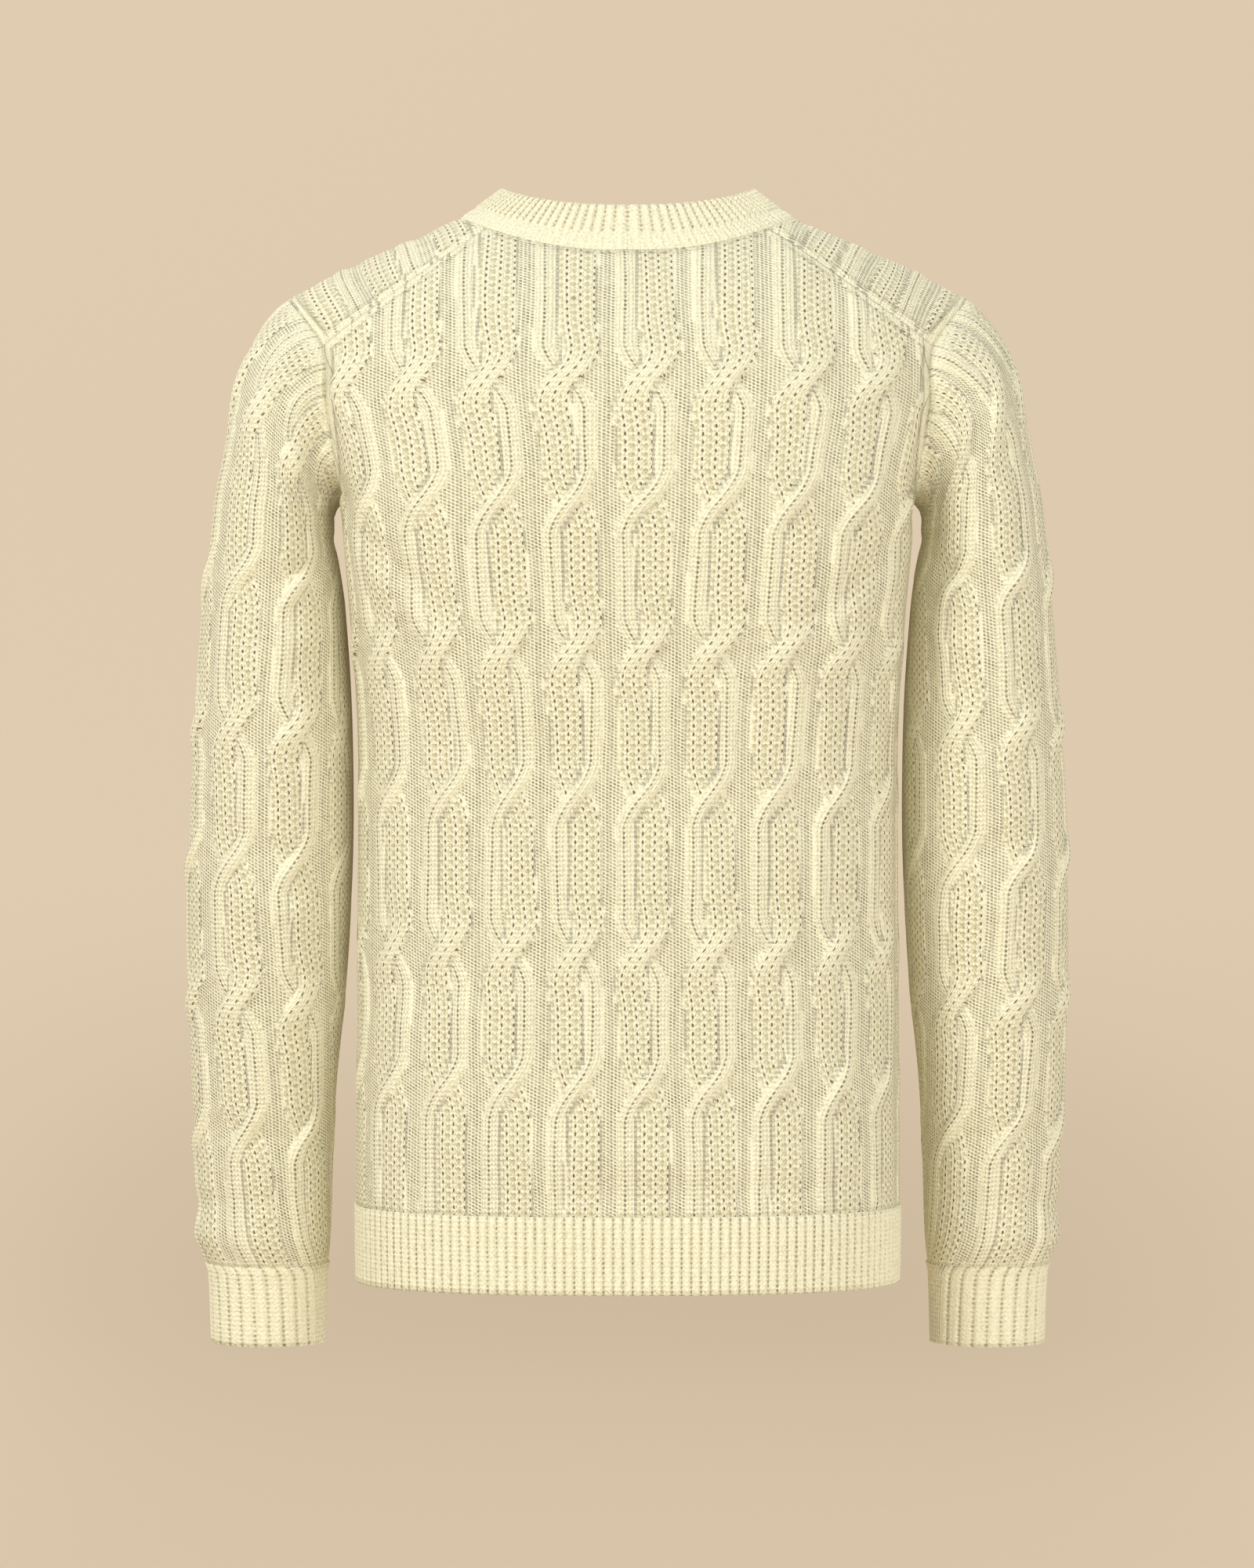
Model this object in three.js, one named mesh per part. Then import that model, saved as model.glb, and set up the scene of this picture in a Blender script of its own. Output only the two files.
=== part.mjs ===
// Cable knit sweater, filled out with no wearer in it. Millimetres, +Z up.
// The wearer faces -Y, so the back is towards +Y, and the wearer's left is +X.
// The origin is at shoulder height in the middle of the neck opening.
import * as THREE from "three";

// Levels of the parts that meet.
const HEM_END = -656;
const HEM_TOP = -609;
const UPPER = -130;
const ARMPIT = -173;
const CUFF_TOP = -648.5;
const CUFF_END = -698.5;
const SEAM = 0.3;
const WALL = 2.2;

// Sections of the body: level, half width, depth of the back, depth of the front, fullness.
const BODY = [
  [-656, 168, 104, 108, 2.5],
  [-609, 168.5, 105, 110, 2.5],
  [-520, 168, 103, 111, 2.5],
  [-430, 167.5, 100, 110, 2.5],
  [-340, 167, 100, 111, 2.6],
  [-290, 168.5, 103, 113, 2.75],
  [-242, 172, 107, 115, 2.95],
  [-200, 175.5, 110, 116, 3.2],
  [-173, 176.5, 111, 115, 3.3],
  [-150, 188, 111, 114, 2.85],
  [-115, 202, 111, 113, 2.65],
  [-80, 215, 111, 112, 2.6],
  [-40, 230, 111, 112, 2.6],
  [20, 245, 111, 112, 2.6],
];

// Top line of the shoulders: distance from the middle, level.
const RIDGE = [
  [0, 8],
  [60, 6.5],
  [90, 4.3],
  [104, 1.5],
  [125, -8],
  [160, -23],
  [185, -34.5],
  [211, -48],
  [235, -62],
];
const DOME_BACK = 165;
const DOME_FRONT = 210;

// Armhole seam: level, distance from the middle.
const ARMHOLE = [
  [-173, 176.5],
  [-145, 180],
  [-115, 184],
  [-81, 187],
  [-48, 211],
  [-40, 218],
];

// Neck line in plan.
const NECK_SIDE = 104;
const NECK_BACK = 66;
const NECK_FRONT = 92;
const NECK_ROUND = 2.3;
const COLLAR_SIDE = 78;
const COLLAR_BACK = 52;
const COLLAR_FRONT = 76;
const COLLAR_PEAK = 20.5;
const COLLAR_BACK_DIP = 16;
const COLLAR_FRONT_DIP = 78;
const SHOULDER_X = 86;
const SHOULDER_SLOPE = 0.7224;

// Sections of a sleeve: level of the middle, outer x, inner x, tilt, half depth, offset to the front.
const SLEEVE = [
  [-698.5, 260.5, 191, 0, 34, 26],
  [-654.5, 262, 189.5, 0, 35.5, 23],
  [-646.5, 264.5, 188, 0, 38, 22.5],
  [-629, 268.5, 186.5, 0, 41.5, 21],
  [-585, 270.5, 185, 0, 44, 18],
  [-535, 272, 182.5, 0, 47, 15],
  [-486, 273.5, 177.5, 0, 50, 12],
  [-437, 274, 173.7, 0, 53, 9],
  [-388, 273, 171.6, 0, 55.5, 7],
  [-340, 270.5, 171.4, 0, 57.5, 5],
  [-290, 267.5, 172.8, 0, 59, 3.5],
  [-242, 263.5, 176.2, 0, 60, 2.5],
  [-219, 261, 178.6, 2, 60.5, 2],
  [-200, 258.5, 181.2, 7, 61, 1.5],
  [-183, 255.5, 183.5, 15, 61, 1],
  [-167.5, 250.5, 183.2, 23.5, 61, 0.5],
  [-153, 246, 183.3, 33, 61, 0],
  [-138.5, 239.5, 183, 43.5, 61, 0],
  [-124.8, 230.5, 182.3, 53.8, 61, 0],
  [-116.3, 221, 180.6, 59.3, 61, 0],
  [-110.5, 211, 176.8, 62.5, 61, 0],
];
const ARMHOLE_MID = -110.5;
const ARMHOLE_HALF = 62.5;

// Cables: repeats across half a panel, where the pattern starts, and the levels where the strands cross.
const BODY_REPEATS = 5.5;
const BODY_PHASE = 0.272;
const BODY_CROSSINGS = [-532, -450, -356, -269, -180, -105];
const SLEEVE_PITCH = 41;
const SLEEVE_CROSSINGS = [-565, -483, -397, -315, -224, -140];
const CROSSING = 22;
const YOKE_STRETCH = 0.07;
const PER_REPEAT = 5;
const RIB_PITCH = 5.9;
const RIB_LIFT = 0.9;

const YARN = new THREE.MeshStandardMaterial({
  name: "fabric",
  color: new THREE.Color().setRGB(0.8, 0.74, 0.51),
  roughness: 0.92,
  metalness: 0,
});

const limit = (t) => Math.min(1, Math.max(0, t));
const mix = (a, b, t) => a + (b - a) * t;

function ease(t) {
  const c = limit(t);
  return c * c * (3 - 2 * c);
}

// Smooth reading of a column of a table whose rows rise by their first number.
function read(table, key, column) {
  const last = table.length - 1;
  if (key <= table[0][0]) return table[0][column];
  if (key >= table[last][0]) return table[last][column];
  let i = 0;
  while (key > table[i + 1][0]) i += 1;
  const slope = (k) => {
    const low = table[Math.max(0, k - 1)];
    const high = table[Math.min(last, k + 1)];
    return (high[column] - low[column]) / (high[0] - low[0]);
  };
  const [from, to] = [table[i], table[i + 1]];
  const width = to[0] - from[0];
  const t = (key - from[0]) / width;
  const t2 = t * t;
  const t3 = t2 * t;
  return (
    from[column] * (2 * t3 - 3 * t2 + 1) +
    slope(i) * width * (t3 - 2 * t2 + t) +
    to[column] * (3 * t2 - 2 * t3) +
    slope(i + 1) * width * (t3 - t2)
  );
}

const ridge = (x) => read(RIDGE, Math.abs(x), 1);
const armholeX = (z) => read(ARMHOLE, z, 1);
const domeOf = (side) => (side > 0 ? DOME_BACK : DOME_FRONT);

// Half depth of a full section at x and a level, before the shoulder rounds it off.
function depth(x, z, side) {
  const full = read(BODY, z, 4);
  const round = limit(1 - (Math.abs(x) / read(BODY, z, 1)) ** full);
  return read(BODY, z, side > 0 ? 2 : 3) * round ** (1 / full);
}

function skin(x, z, side) {
  const drop = limit((ridge(x) - z) / domeOf(side));
  return side * depth(x, z, side) * Math.sqrt(1 - (1 - drop) ** 2);
}

// Point on the shoulder at x, turned by an angle from the ridge: positive to the front.
function shoulder(x, angle) {
  const side = angle > 0 ? -1 : 1;
  const z = ridge(x) - domeOf(side) * (1 - Math.cos(angle));
  return new THREE.Vector3(x, side * depth(x, z, side) * Math.sin(Math.abs(angle)), z);
}

function angleAt(x, y) {
  const side = y > 0 ? 1 : -1;
  let angle = 0;
  for (let i = 0; i < 6; i += 1) {
    const z = ridge(x) - domeOf(side) * (1 - Math.cos(angle));
    angle = Math.asin(limit(Math.abs(y) / depth(x, z, side)));
  }
  return -side * angle;
}

// Neck line in plan, at a turn from the side: positive to the back.
function neckPlan(turn, across, back, front) {
  const c = Math.cos(turn);
  const s = Math.sin(turn);
  const p = 2 / NECK_ROUND;
  const x = Math.sign(c) * across * Math.abs(c) ** p;
  return [x, Math.sign(s) * (s > 0 ? back : front) * Math.abs(s) ** p];
}

function backTop(x) {
  const r = Math.abs(x);
  if (r > SHOULDER_X) return backTop(SHOULDER_X) - SHOULDER_SLOPE * (r - SHOULDER_X);
  const y = NECK_BACK * (1 - (r / NECK_SIDE) ** NECK_ROUND) ** (1 / NECK_ROUND);
  return shoulder(r, angleAt(r, y)).z;
}

// Lengths along the section at a level, from the middle to its edge.
const sections = new Map();
function section(z, side) {
  const key = `${z.toFixed(3)} ${side}`;
  if (sections.has(key)) return sections.get(key);
  const wide = read(BODY, z, 1);
  const edge = z > ARMPIT ? Math.min(armholeX(z), wide) : wide;
  const full = read(BODY, z, 4);
  const turn = Math.asin(limit((edge / wide) ** (full / 2)));
  const found = [[0, 0]];
  let before = [0, skin(0, z, side)];
  for (let i = 1; i <= 240; i += 1) {
    const x = wide * Math.sin((turn * i) / 240) ** (2 / full);
    const y = skin(x, z, side);
    found.push([found[i - 1][0] + Math.hypot(x - before[0], y - before[1]), x]);
    before = [x, y];
  }
  sections.set(key, found);
  return found;
}

function xAlong(length, z, side) {
  const found = section(z, side);
  const top = found[240][0];
  const want = Math.min(length, top);
  let low = 0;
  let high = 240;
  while (high - low > 1) {
    const mid = (low + high) >> 1;
    if (found[mid][0] > want) high = mid;
    else low = mid;
  }
  const t = (want - found[low][0]) / (found[high][0] - found[low][0] || 1);
  return mix(found[low][1], found[high][1], limit(t));
}

// The yoke pulls the wales a little apart.
const widen = (z) => 1 + YOKE_STRETCH * ease((z - ARMPIT) / 70);

// Distance along the section for a share s of the panel. Above the armpit the armhole cuts the wales.
function spread(s, z, side) {
  const edge = section(z, side)[240][0];
  if (z <= ARMPIT) return Math.abs(s) * edge;
  const chest = section(ARMPIT, side)[240][0] * widen(z);
  const kept = 0.7 * chest;
  const nominal = Math.abs(s) * chest;
  if (nominal <= kept) return nominal;
  return mix(kept, edge, (nominal - kept) / (chest - kept));
}

const level = (s, z, side) => {
  const x = Math.sign(s) * xAlong(spread(s, z, side), z, side);
  return new THREE.Vector3(x, skin(x, z, side), z);
};

function settle(s, side, top) {
  let z = -40;
  for (let i = 0; i < 14; i += 1) {
    z = mix(z, top(xAlong(spread(s, z, side), z, side)), 0.6);
  }
  return z;
}

// Height along a panel is its level up to UPPER, and beyond it UPPER plus a share of 100.
const backTops = new Map();
function backForm(s, h) {
  if (h <= UPPER) return level(s, h, 1);
  const key = s.toFixed(5);
  if (!backTops.has(key)) backTops.set(key, settle(s, 1, backTop));
  return level(s, mix(UPPER, backTops.get(key), (h - UPPER) / 100), 1);
}

// Share of the front's half width that ends at the neck; the rest runs over the shoulder.
const NECK_SHARE = 0.49;
const CORNER_TURN = Math.acos((SHOULDER_X / NECK_SIDE) ** (NECK_ROUND / 2));

function armholeTurn(angle) {
  let x = 200;
  for (let i = 0; i < 30; i += 1) {
    const z = shoulder(x, angle).z;
    x = mix(x, armholeX(z), 0.5);
  }
  return x;
}

function seamAngle(x) {
  const fall = ridge(x) - backTop(x);
  return -Math.acos(1 - fall / DOME_BACK);
}

function cornerX() {
  let x = 187;
  for (let i = 0; i < 20; i += 1) x = mix(x, armholeX(backTop(x)), 0.5);
  return x;
}
const CORNER_X = cornerX();

function frontEnd(s) {
  const r = Math.abs(s);
  if (r > NECK_SHARE) {
    const x = mix(SHOULDER_X, CORNER_X, (r - NECK_SHARE) / (1 - NECK_SHARE));
    return [x, seamAngle(x)];
  }
  const turn = mix(-Math.PI / 2, CORNER_TURN, (r / NECK_SHARE) ** 1.15);
  const [x, y] = neckPlan(turn, NECK_SIDE, NECK_BACK, NECK_FRONT);
  return [Math.max(x, 0), angleAt(x, y)];
}

function frontStart(s) {
  const x = xAlong(spread(s, UPPER, -1), UPPER, -1);
  return [x, Math.acos(1 - (ridge(x) - UPPER) / DOME_FRONT)];
}

// A place on the shoulder by its turn round the neck and its size against the neck line.
function aroundNeck([x, angle]) {
  const { y } = shoulder(x, angle);
  const wide = (x / NECK_SIDE) ** (NECK_ROUND / 2);
  const deep = (Math.abs(y) / (y > 0 ? NECK_BACK : NECK_FRONT)) ** (NECK_ROUND / 2);
  const size = Math.hypot(wide, deep) ** (2 / NECK_ROUND);
  return { turn: Math.sign(y) * Math.atan2(deep, wide), size, angle };
}

// Each wale of the front sweeps past the side of the neck on its way over the shoulder.
const frontPaths = new Map();
function frontPlan(s, w) {
  const key = s.toFixed(5);
  if (!frontPaths.has(key)) frontPaths.set(key, [aroundNeck(frontStart(s)), aroundNeck(frontEnd(s))]);
  const [from, to] = frontPaths.get(key);
  const angle = mix(from.angle, to.angle, w);
  const passed = (Math.sin(from.angle) - Math.sin(angle)) / (Math.sin(from.angle) - Math.sin(to.angle));
  const turn = mix(from.turn, to.turn, passed);
  const size = mix(from.size, to.size, passed);
  const [x, y] = neckPlan(turn, NECK_SIDE * size, NECK_BACK * size, NECK_FRONT * size);
  return [x, angleAt(x, y)];
}

function frontForm(s, h) {
  if (h <= UPPER) return level(s, h, -1);
  const w = (h - UPPER) / 100;
  const r = Math.abs(s);
  const [x, angle] = frontPlan(r, w);
  const [edgeX, edgeAngle] = frontPlan(1, w);
  const point = shoulder(x + (armholeTurn(edgeAngle) - edgeX) * r ** 5, angle);
  point.x *= Math.sign(s) || 1;
  return point;
}

// Ring of the armhole at a turn from the ridge: positive to the back.
function armholePoint(turn) {
  const z = ARMHOLE_MID + ARMHOLE_HALF * Math.cos(turn);
  const x = armholeX(z);
  return new THREE.Vector3(x, skin(x, z, Math.sin(turn) >= 0 ? 1 : -1), z);
}

function ringPoint(turn, v) {
  const [outer, inner, tilt, q, ahead] = [1, 2, 3, 4, 5].map((c) => read(SLEEVE, v, c));
  const c = Math.cos(turn);
  const x = (outer + inner) / 2 + ((outer - inner) / 2) * c;
  const point = new THREE.Vector3(x, q * Math.sin(turn) - ahead, v + tilt * c);
  const near = (1 - limit((ARMHOLE_MID - v) / 26)) ** 2.4;
  return near > 0 ? point.lerp(armholePoint(turn), near) : point;
}

const rings = new Map();
function ring(v) {
  const key = v.toFixed(3);
  if (rings.has(key)) return rings.get(key);
  const found = [0];
  let before = ringPoint(0, v);
  for (let i = 1; i <= 120; i += 1) {
    const next = ringPoint((Math.PI * i) / 120, v);
    found.push(found[i - 1] + next.distanceTo(before));
    before = next;
  }
  rings.set(key, found);
  return found;
}

function ringTurn(length, v) {
  const found = ring(v);
  const want = Math.min(length, found[120]);
  let i = 0;
  while (i < 119 && found[i + 1] < want) i += 1;
  return (Math.PI * (i + (want - found[i]) / (found[i + 1] - found[i]))) / 120;
}

function ringSpread(s, v) {
  const edge = ring(v)[120];
  const full = 4 * SLEEVE_PITCH;
  const kept = 2.2 * SLEEVE_PITCH;
  const nominal = Math.abs(s) * full;
  if (nominal <= kept) return nominal;
  return mix(kept, edge, (nominal - kept) / (full - kept));
}

// s runs round the sleeve from the underarm over the back to the top and down the front.
function sleeveForm(s, v) {
  const turn = ringTurn(ringSpread(s, v), v);
  return ringPoint(Math.sign(s) * turn, v);
}

// Height of the cables: u counts repeats across, v is the level.
function cable(u, v, crossings) {
  const place = u - Math.floor(u);
  let right = 0;
  let over = 0;
  let plainOver = 0;
  crossings.forEach((at, i) => {
    const lace = (crossings.length - 1 - i) % 2 === 0;
    const passed = ease((v - at) / (2 * CROSSING) + 0.5);
    right += lace ? -passed : passed;
    const near = 1 - ease(Math.abs(v - at) / CROSSING);
    over = Math.max(over, near);
    if (!lace) plainOver = Math.max(plainOver, near);
  });
  const lowest = crossings.length % 2 === 0 ? 0 : 1;
  const plainAt = 0.24 + 0.52 * limit(right + lowest);
  const laceAt = 0.625 - 0.25 * limit(right + lowest);
  const bump = (d, half) => Math.max(0, 1 - (d / half) ** 2) ** 0.7;
  const laceOver = over - plainOver;
  const plain = (2.9 + 1.9 * plainOver - 1.6 * laceOver) * bump(place - plainAt, 0.2);
  const lace = (1.8 + 2.4 * laceOver - 1.1 * plainOver) * bump(place - laceAt, 0.31 - 0.07 * laceOver);
  return Math.max(plain, lace, 0);
}

const bodyU = (s, z, side) => {
  const chest = section(Math.min(z, ARMPIT), side)[240][0] * widen(z);
  return BODY_PHASE - (Math.sign(s) * side * spread(s, z, side) * BODY_REPEATS) / chest;
};

// Columns at fifths of a repeat, with the two edges of the panel.
function panelColumns(repeats, phase, edge) {
  const list = [-1];
  const from = Math.ceil((-repeats - phase) * PER_REPEAT);
  for (let k = from; k <= (repeats - phase) * PER_REPEAT; k += 1) {
    const s = (k / PER_REPEAT + phase) / repeats;
    if (Math.abs(s) < 1 - edge) list.push(s);
  }
  list.push(1);
  return list;
}

// Rows at each crossing and between them.
function crossingRows(from, to, crossings, gap) {
  const wanted = [from];
  crossings.forEach((at) => wanted.push(at - gap, at, at + gap));
  const sorted = wanted.filter((v) => v >= from && v < to - 6).sort((a, b) => a - b);
  const rows = [];
  sorted.forEach((v, i) => {
    rows.push(v);
    const next = i + 1 < sorted.length ? sorted[i + 1] : to;
    if (next - v > 3.2 * gap) rows.push((v + next) / 2);
  });
  rows.push(to);
  return rows;
}

const evenly = (from, to, count) => Array.from({ length: count + 1 }, (_, i) => mix(from, to, i / count));

// A closed wall: fine outer points over a plain, coarser inside, joined round its rims.
class Wall {
  constructor(form, facing, lift) {
    this.form = form;
    this.facing = facing;
    this.lift = lift;
    this.points = [];
    this.normals = [];
    this.faces = [];
  }

  add(point, normal) {
    this.points.push(point);
    this.normals.push(normal);
    return this.points.length - 1;
  }

  grid(columns, rows, inside) {
    return rows.map((v) =>
      columns.map((s) => {
        const normal = this.facing(s, v);
        const away = inside ? -WALL : this.lift(s, v);
        return this.add(this.form(s, v).addScaledVector(normal, away), normal);
      }),
    );
  }

  line(stations) {
    return stations.map((k) => [k.share, this.add(k.point.clone(), k.normal)]);
  }

  station(share, id) {
    return { share, point: this.points[id], normal: this.normals[id] };
  }

  skinOver(ids, inside, around) {
    const wide = ids[0].length;
    for (let j = 0; j + 1 < ids.length; j += 1) {
      for (let i = 0; i + (around ? 0 : 1) < wide; i += 1) {
        const n = (i + 1) % wide;
        const [a, b, c, d] = [ids[j][i], ids[j][n], ids[j + 1][n], ids[j + 1][i]];
        const flat = this.points[a].distanceTo(this.points[c]) > this.points[b].distanceTo(this.points[d]);
        const pair = flat ? [[a, b, d], [b, c, d]] : [[a, b, c], [a, c, d]];
        pair.forEach((f) => this.faces.push(inside ? [f[0], f[2], f[1]] : f));
      }
    }
  }

  // Joins two lines of [share, point] with a strip that runs along both. Worked backwards, the strip
  // is split as its neighbour across the seam is.
  zip(first, second, backwards) {
    if (backwards) {
      const from = this.faces.length;
      this.zip(turnedBack(first), turnedBack(second), false);
      const made = this.faces.splice(from);
      made.forEach(([a, b, c]) => this.faces.push([a, c, b]));
      return;
    }
    let [i, j] = [0, 0];
    while (i + 1 < first.length || j + 1 < second.length) {
      const along = j + 1 >= second.length ||
        (i + 1 < first.length && first[i + 1][0] <= second[j + 1][0] + 1e-9);
      if (along) {
        this.faces.push([first[i + 1][1], first[i][1], second[j][1]]);
        i += 1;
      } else {
        this.faces.push([second[j][1], second[j + 1][1], first[i][1]]);
        j += 1;
      }
    }
  }

  mesh(name) {
    const place = new Float32Array(this.points.length * 3);
    this.points.forEach((p, i) => place.set([p.x, p.y, p.z], 3 * i));
    let volume = 0;
    this.faces.forEach(([a, b, c]) => {
      const side = new THREE.Vector3().crossVectors(this.points[b], this.points[c]);
      volume += this.points[a].dot(side);
    });
    const turned = this.faces.map(([a, b, c]) => (volume > 0 ? [a, b, c] : [a, c, b]));
    const geometry = new THREE.BufferGeometry();
    geometry.setAttribute("position", new THREE.BufferAttribute(place, 3));
    geometry.setIndex(turned.flat());
    geometry.computeVertexNormals();
    const mesh = new THREE.Mesh(geometry, YARN);
    mesh.name = name;
    return mesh;
  }
}

const across = (ids, columns) => columns.map((s, i) => [s, ids[i]]);
const turnedBack = (line) => line.map(([share, id]) => [-share, id]).reverse();

// An open panel. A head, where given, is the line that its top edge follows.
function panel(wall, columns, rows, innerColumns, innerRows, head, rising) {
  const outer = wall.grid(columns, rows, false);
  const inner = wall.grid(innerColumns, innerRows, true);
  wall.skinOver(outer, false, false);
  wall.skinOver(inner, true, false);
  let high = across(outer[outer.length - 1], columns);
  let innerHigh = across(inner[inner.length - 1], innerColumns);
  const sides = [-1, 1].map((end) => ({
    fine: rows.map((v, j) => [v, end < 0 ? outer[j][0] : outer[j][columns.length - 1]]),
    coarse: innerRows.map((v, j) => [v, end < 0 ? inner[j][0] : inner[j][innerColumns.length - 1]]),
  }));
  if (head) {
    const [top, innerTop] = [wall.line(head.outer), wall.line(head.inner)];
    wall.zip(top, high, false);
    wall.zip(innerHigh, innerTop, false);
    high = top;
    innerHigh = innerTop;
    sides.forEach((side, k) => {
      side.fine.push([head.at, k === 0 ? top[0][1] : top[top.length - 1][1]]);
      side.coarse.push([head.at, k === 0 ? innerTop[0][1] : innerTop[innerTop.length - 1][1]]);
    });
  }
  wall.zip(across(outer[0], columns), across(inner[0], innerColumns), false);
  wall.zip(sides[1].fine, sides[1].coarse, !rising);
  wall.zip(turnedBack(sides[0].fine), turnedBack(sides[0].coarse), rising);
  const within = (line, from, to) => line.filter(([share]) => share > from - 1e-6 && share < to + 1e-6);
  const corners = head ? [-1, -NECK_SHARE, NECK_SHARE, 1] : [-1, 1];
  corners.slice(1).forEach((to, k) => {
    const [fine, coarse] = [high, innerHigh].map((line) => turnedBack(within(line, corners[k], to)));
    wall.zip(fine, coarse, k === 1);
  });
  wall.found = { high, innerHigh, sides };
  return wall;
}

// A tube. A foot or a head is the line that its first or last edge follows.
function tube(wall, columns, rows, innerColumns, innerRows, foot, head) {
  const outer = wall.grid(columns, rows, false);
  const inner = wall.grid(innerColumns, innerRows, true);
  wall.skinOver(outer, false, true);
  wall.skinOver(inner, true, true);
  const closed = (line) => [...line, [line[0][0] + 2, line[0][1]]];
  let low = closed(across(outer[0], columns));
  let innerLow = closed(across(inner[0], innerColumns));
  let high = closed(across(outer[outer.length - 1], columns));
  let innerHigh = closed(across(inner[inner.length - 1], innerColumns));
  if (foot) {
    const [edge, innerEdge] = [closed(wall.line(foot.outer)), closed(wall.line(foot.inner))];
    wall.zip(low, edge, false);
    wall.zip(innerEdge, innerLow, false);
    [low, innerLow] = [edge, innerEdge];
  }
  if (head) {
    const [edge, innerEdge] = [closed(wall.line(head.outer)), closed(wall.line(head.inner))];
    wall.zip(edge, high, false);
    wall.zip(innerHigh, innerEdge, false);
    [high, innerHigh] = [edge, innerEdge];
  }
  wall.zip(low, innerLow, false);
  wall.zip(turnedBack(high), turnedBack(innerHigh), false);
  return wall;
}

// Moves a line off its piece by the seam's gap, along the cloth and away from the piece.
function apart(stations, towards, around) {
  const last = stations.length - 1;
  return stations.map((k, i) => {
    const before = stations[around ? (i + last) % (last + 1) : Math.max(0, i - 1)].point;
    const after = stations[around ? (i + 1) % (last + 1) : Math.min(last, i + 1)].point;
    const way = after.clone().sub(before).cross(k.normal).normalize();
    if (way.dot(towards(k.point)) < 0) way.negate();
    return { share: k.share, point: k.point.clone().addScaledVector(way, SEAM), normal: k.normal };
  });
}

// Outward direction of a form by small steps along it.
function facingOf(form, step, low, high, outward) {
  return (s, v) => {
    const [s0, s1] = [Math.max(-1, s - 0.004), Math.min(1, s + 0.004)];
    const [v0, v1] = [Math.max(low, v - step), Math.min(high, v + step)];
    const across = form(s1, v).sub(form(s0, v));
    const up = form(s, v1).sub(form(s, v0));
    return across.cross(up).normalize().multiplyScalar(outward);
  };
}

// At the armhole both pieces are cut square to the ring, and at the side seam square to the side.
function armholeFacing(point) {
  return new THREE.Vector3(0, point.y, point.z - ARMHOLE_MID).normalize();
}

function panelFacing(form, side) {
  const plain = facingOf(form, 1, HEM_END, UPPER + 100, -side);
  return (s, h) => {
    const found = plain(s, h);
    const edge = ease((Math.abs(s) - 0.93) / 0.07);
    const above = ease((h - ARMPIT + 12) / 12);
    const square = new THREE.Vector3(Math.sign(s), 0, 0);
    if (above > 0) square.lerp(armholeFacing(form(s, h)), above);
    return found.lerp(square.normalize(), edge).normalize();
  };
}

// The panels stop short of the seams by half a gap.
function inset(form, side) {
  return (s, h) => {
    const point = form(s, h);
    if (Math.abs(s) < 0.999) return point;
    const up = ease((h - ARMPIT) / 10);
    point.y += side * 0.5 * SEAM * (1 - up);
    return point;
  };
}

function panelLift(form, side) {
  return (s, h) => {
    const point = form(s, h);
    const u = bodyU(s, Math.min(point.z, h), side);
    const below = ease((h - HEM_TOP) / 14);
    const top = ease((UPPER + 100 - h) / 12);
    const upper = ease((h - ARMPIT + 25) / 15);
    const edge = 1 - ease((Math.abs(s) - mix(0.95, 0.86, upper)) / mix(0.05, 0.08, upper));
    const flank = 1 - mix(0.6, 0.85, ease((h + 270) / 60)) * ease((Math.abs(s) - 0.8) / 0.12);
    return 0.2 + cable(u, point.z, BODY_CROSSINGS) * below * top * edge * flank;
  };
}

const every = (list, n, all) => list.filter((v, i) => i % n === 0 || i === list.length - 1 || v >= all);

// Rows of a panel: by the crossings up to the armhole, then closer up to the edge.
function bodyRows(top) {
  const low = crossingRows(HEM_TOP, ARMPIT, BODY_CROSSINGS.slice(0, 4), 18);
  return [...low, -170, -163, -150, ...evenly(0, 1, top).map((t) => UPPER + 100 * t ** 1.3)];
}

// Columns with one exactly at each neck corner.
function bodyColumns(side, corner) {
  const list = panelColumns(BODY_REPEATS, side * BODY_PHASE, 0.008);
  [-corner, corner].forEach((at) => {
    const near = list.map((s, i) => [Math.abs(s - at), i]).sort((a, b) => a[0] - b[0])[0][1];
    list[near] = at;
  });
  return list;
}

function backCorner() {
  let low = 0.2;
  let high = 0.7;
  for (let i = 0; i < 30; i += 1) {
    const mid = (low + high) / 2;
    if (backForm(mid, UPPER + 100).x < SHOULDER_X) low = mid;
    else high = mid;
  }
  return (low + high) / 2;
}

function coarser(columns, corner) {
  const last = columns.length - 1;
  const fine = (s, i) => i < 2 || i > last - 2 || Math.abs(Math.abs(s) - corner) < 0.13;
  return columns.filter((s, i) => i % 2 === 0 || fine(s, i));
}

function backWall() {
  const corner = backCorner();
  const wall = new Wall(inset(backForm, 1), panelFacing(backForm, 1), panelLift(backForm, 1));
  const columns = bodyColumns(1, corner);
  const rows = bodyRows(5);
  wall.corner = corner;
  return panel(wall, columns, rows, coarser(columns, corner), every(rows, 2, ARMPIT), null, true);
}

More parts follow.
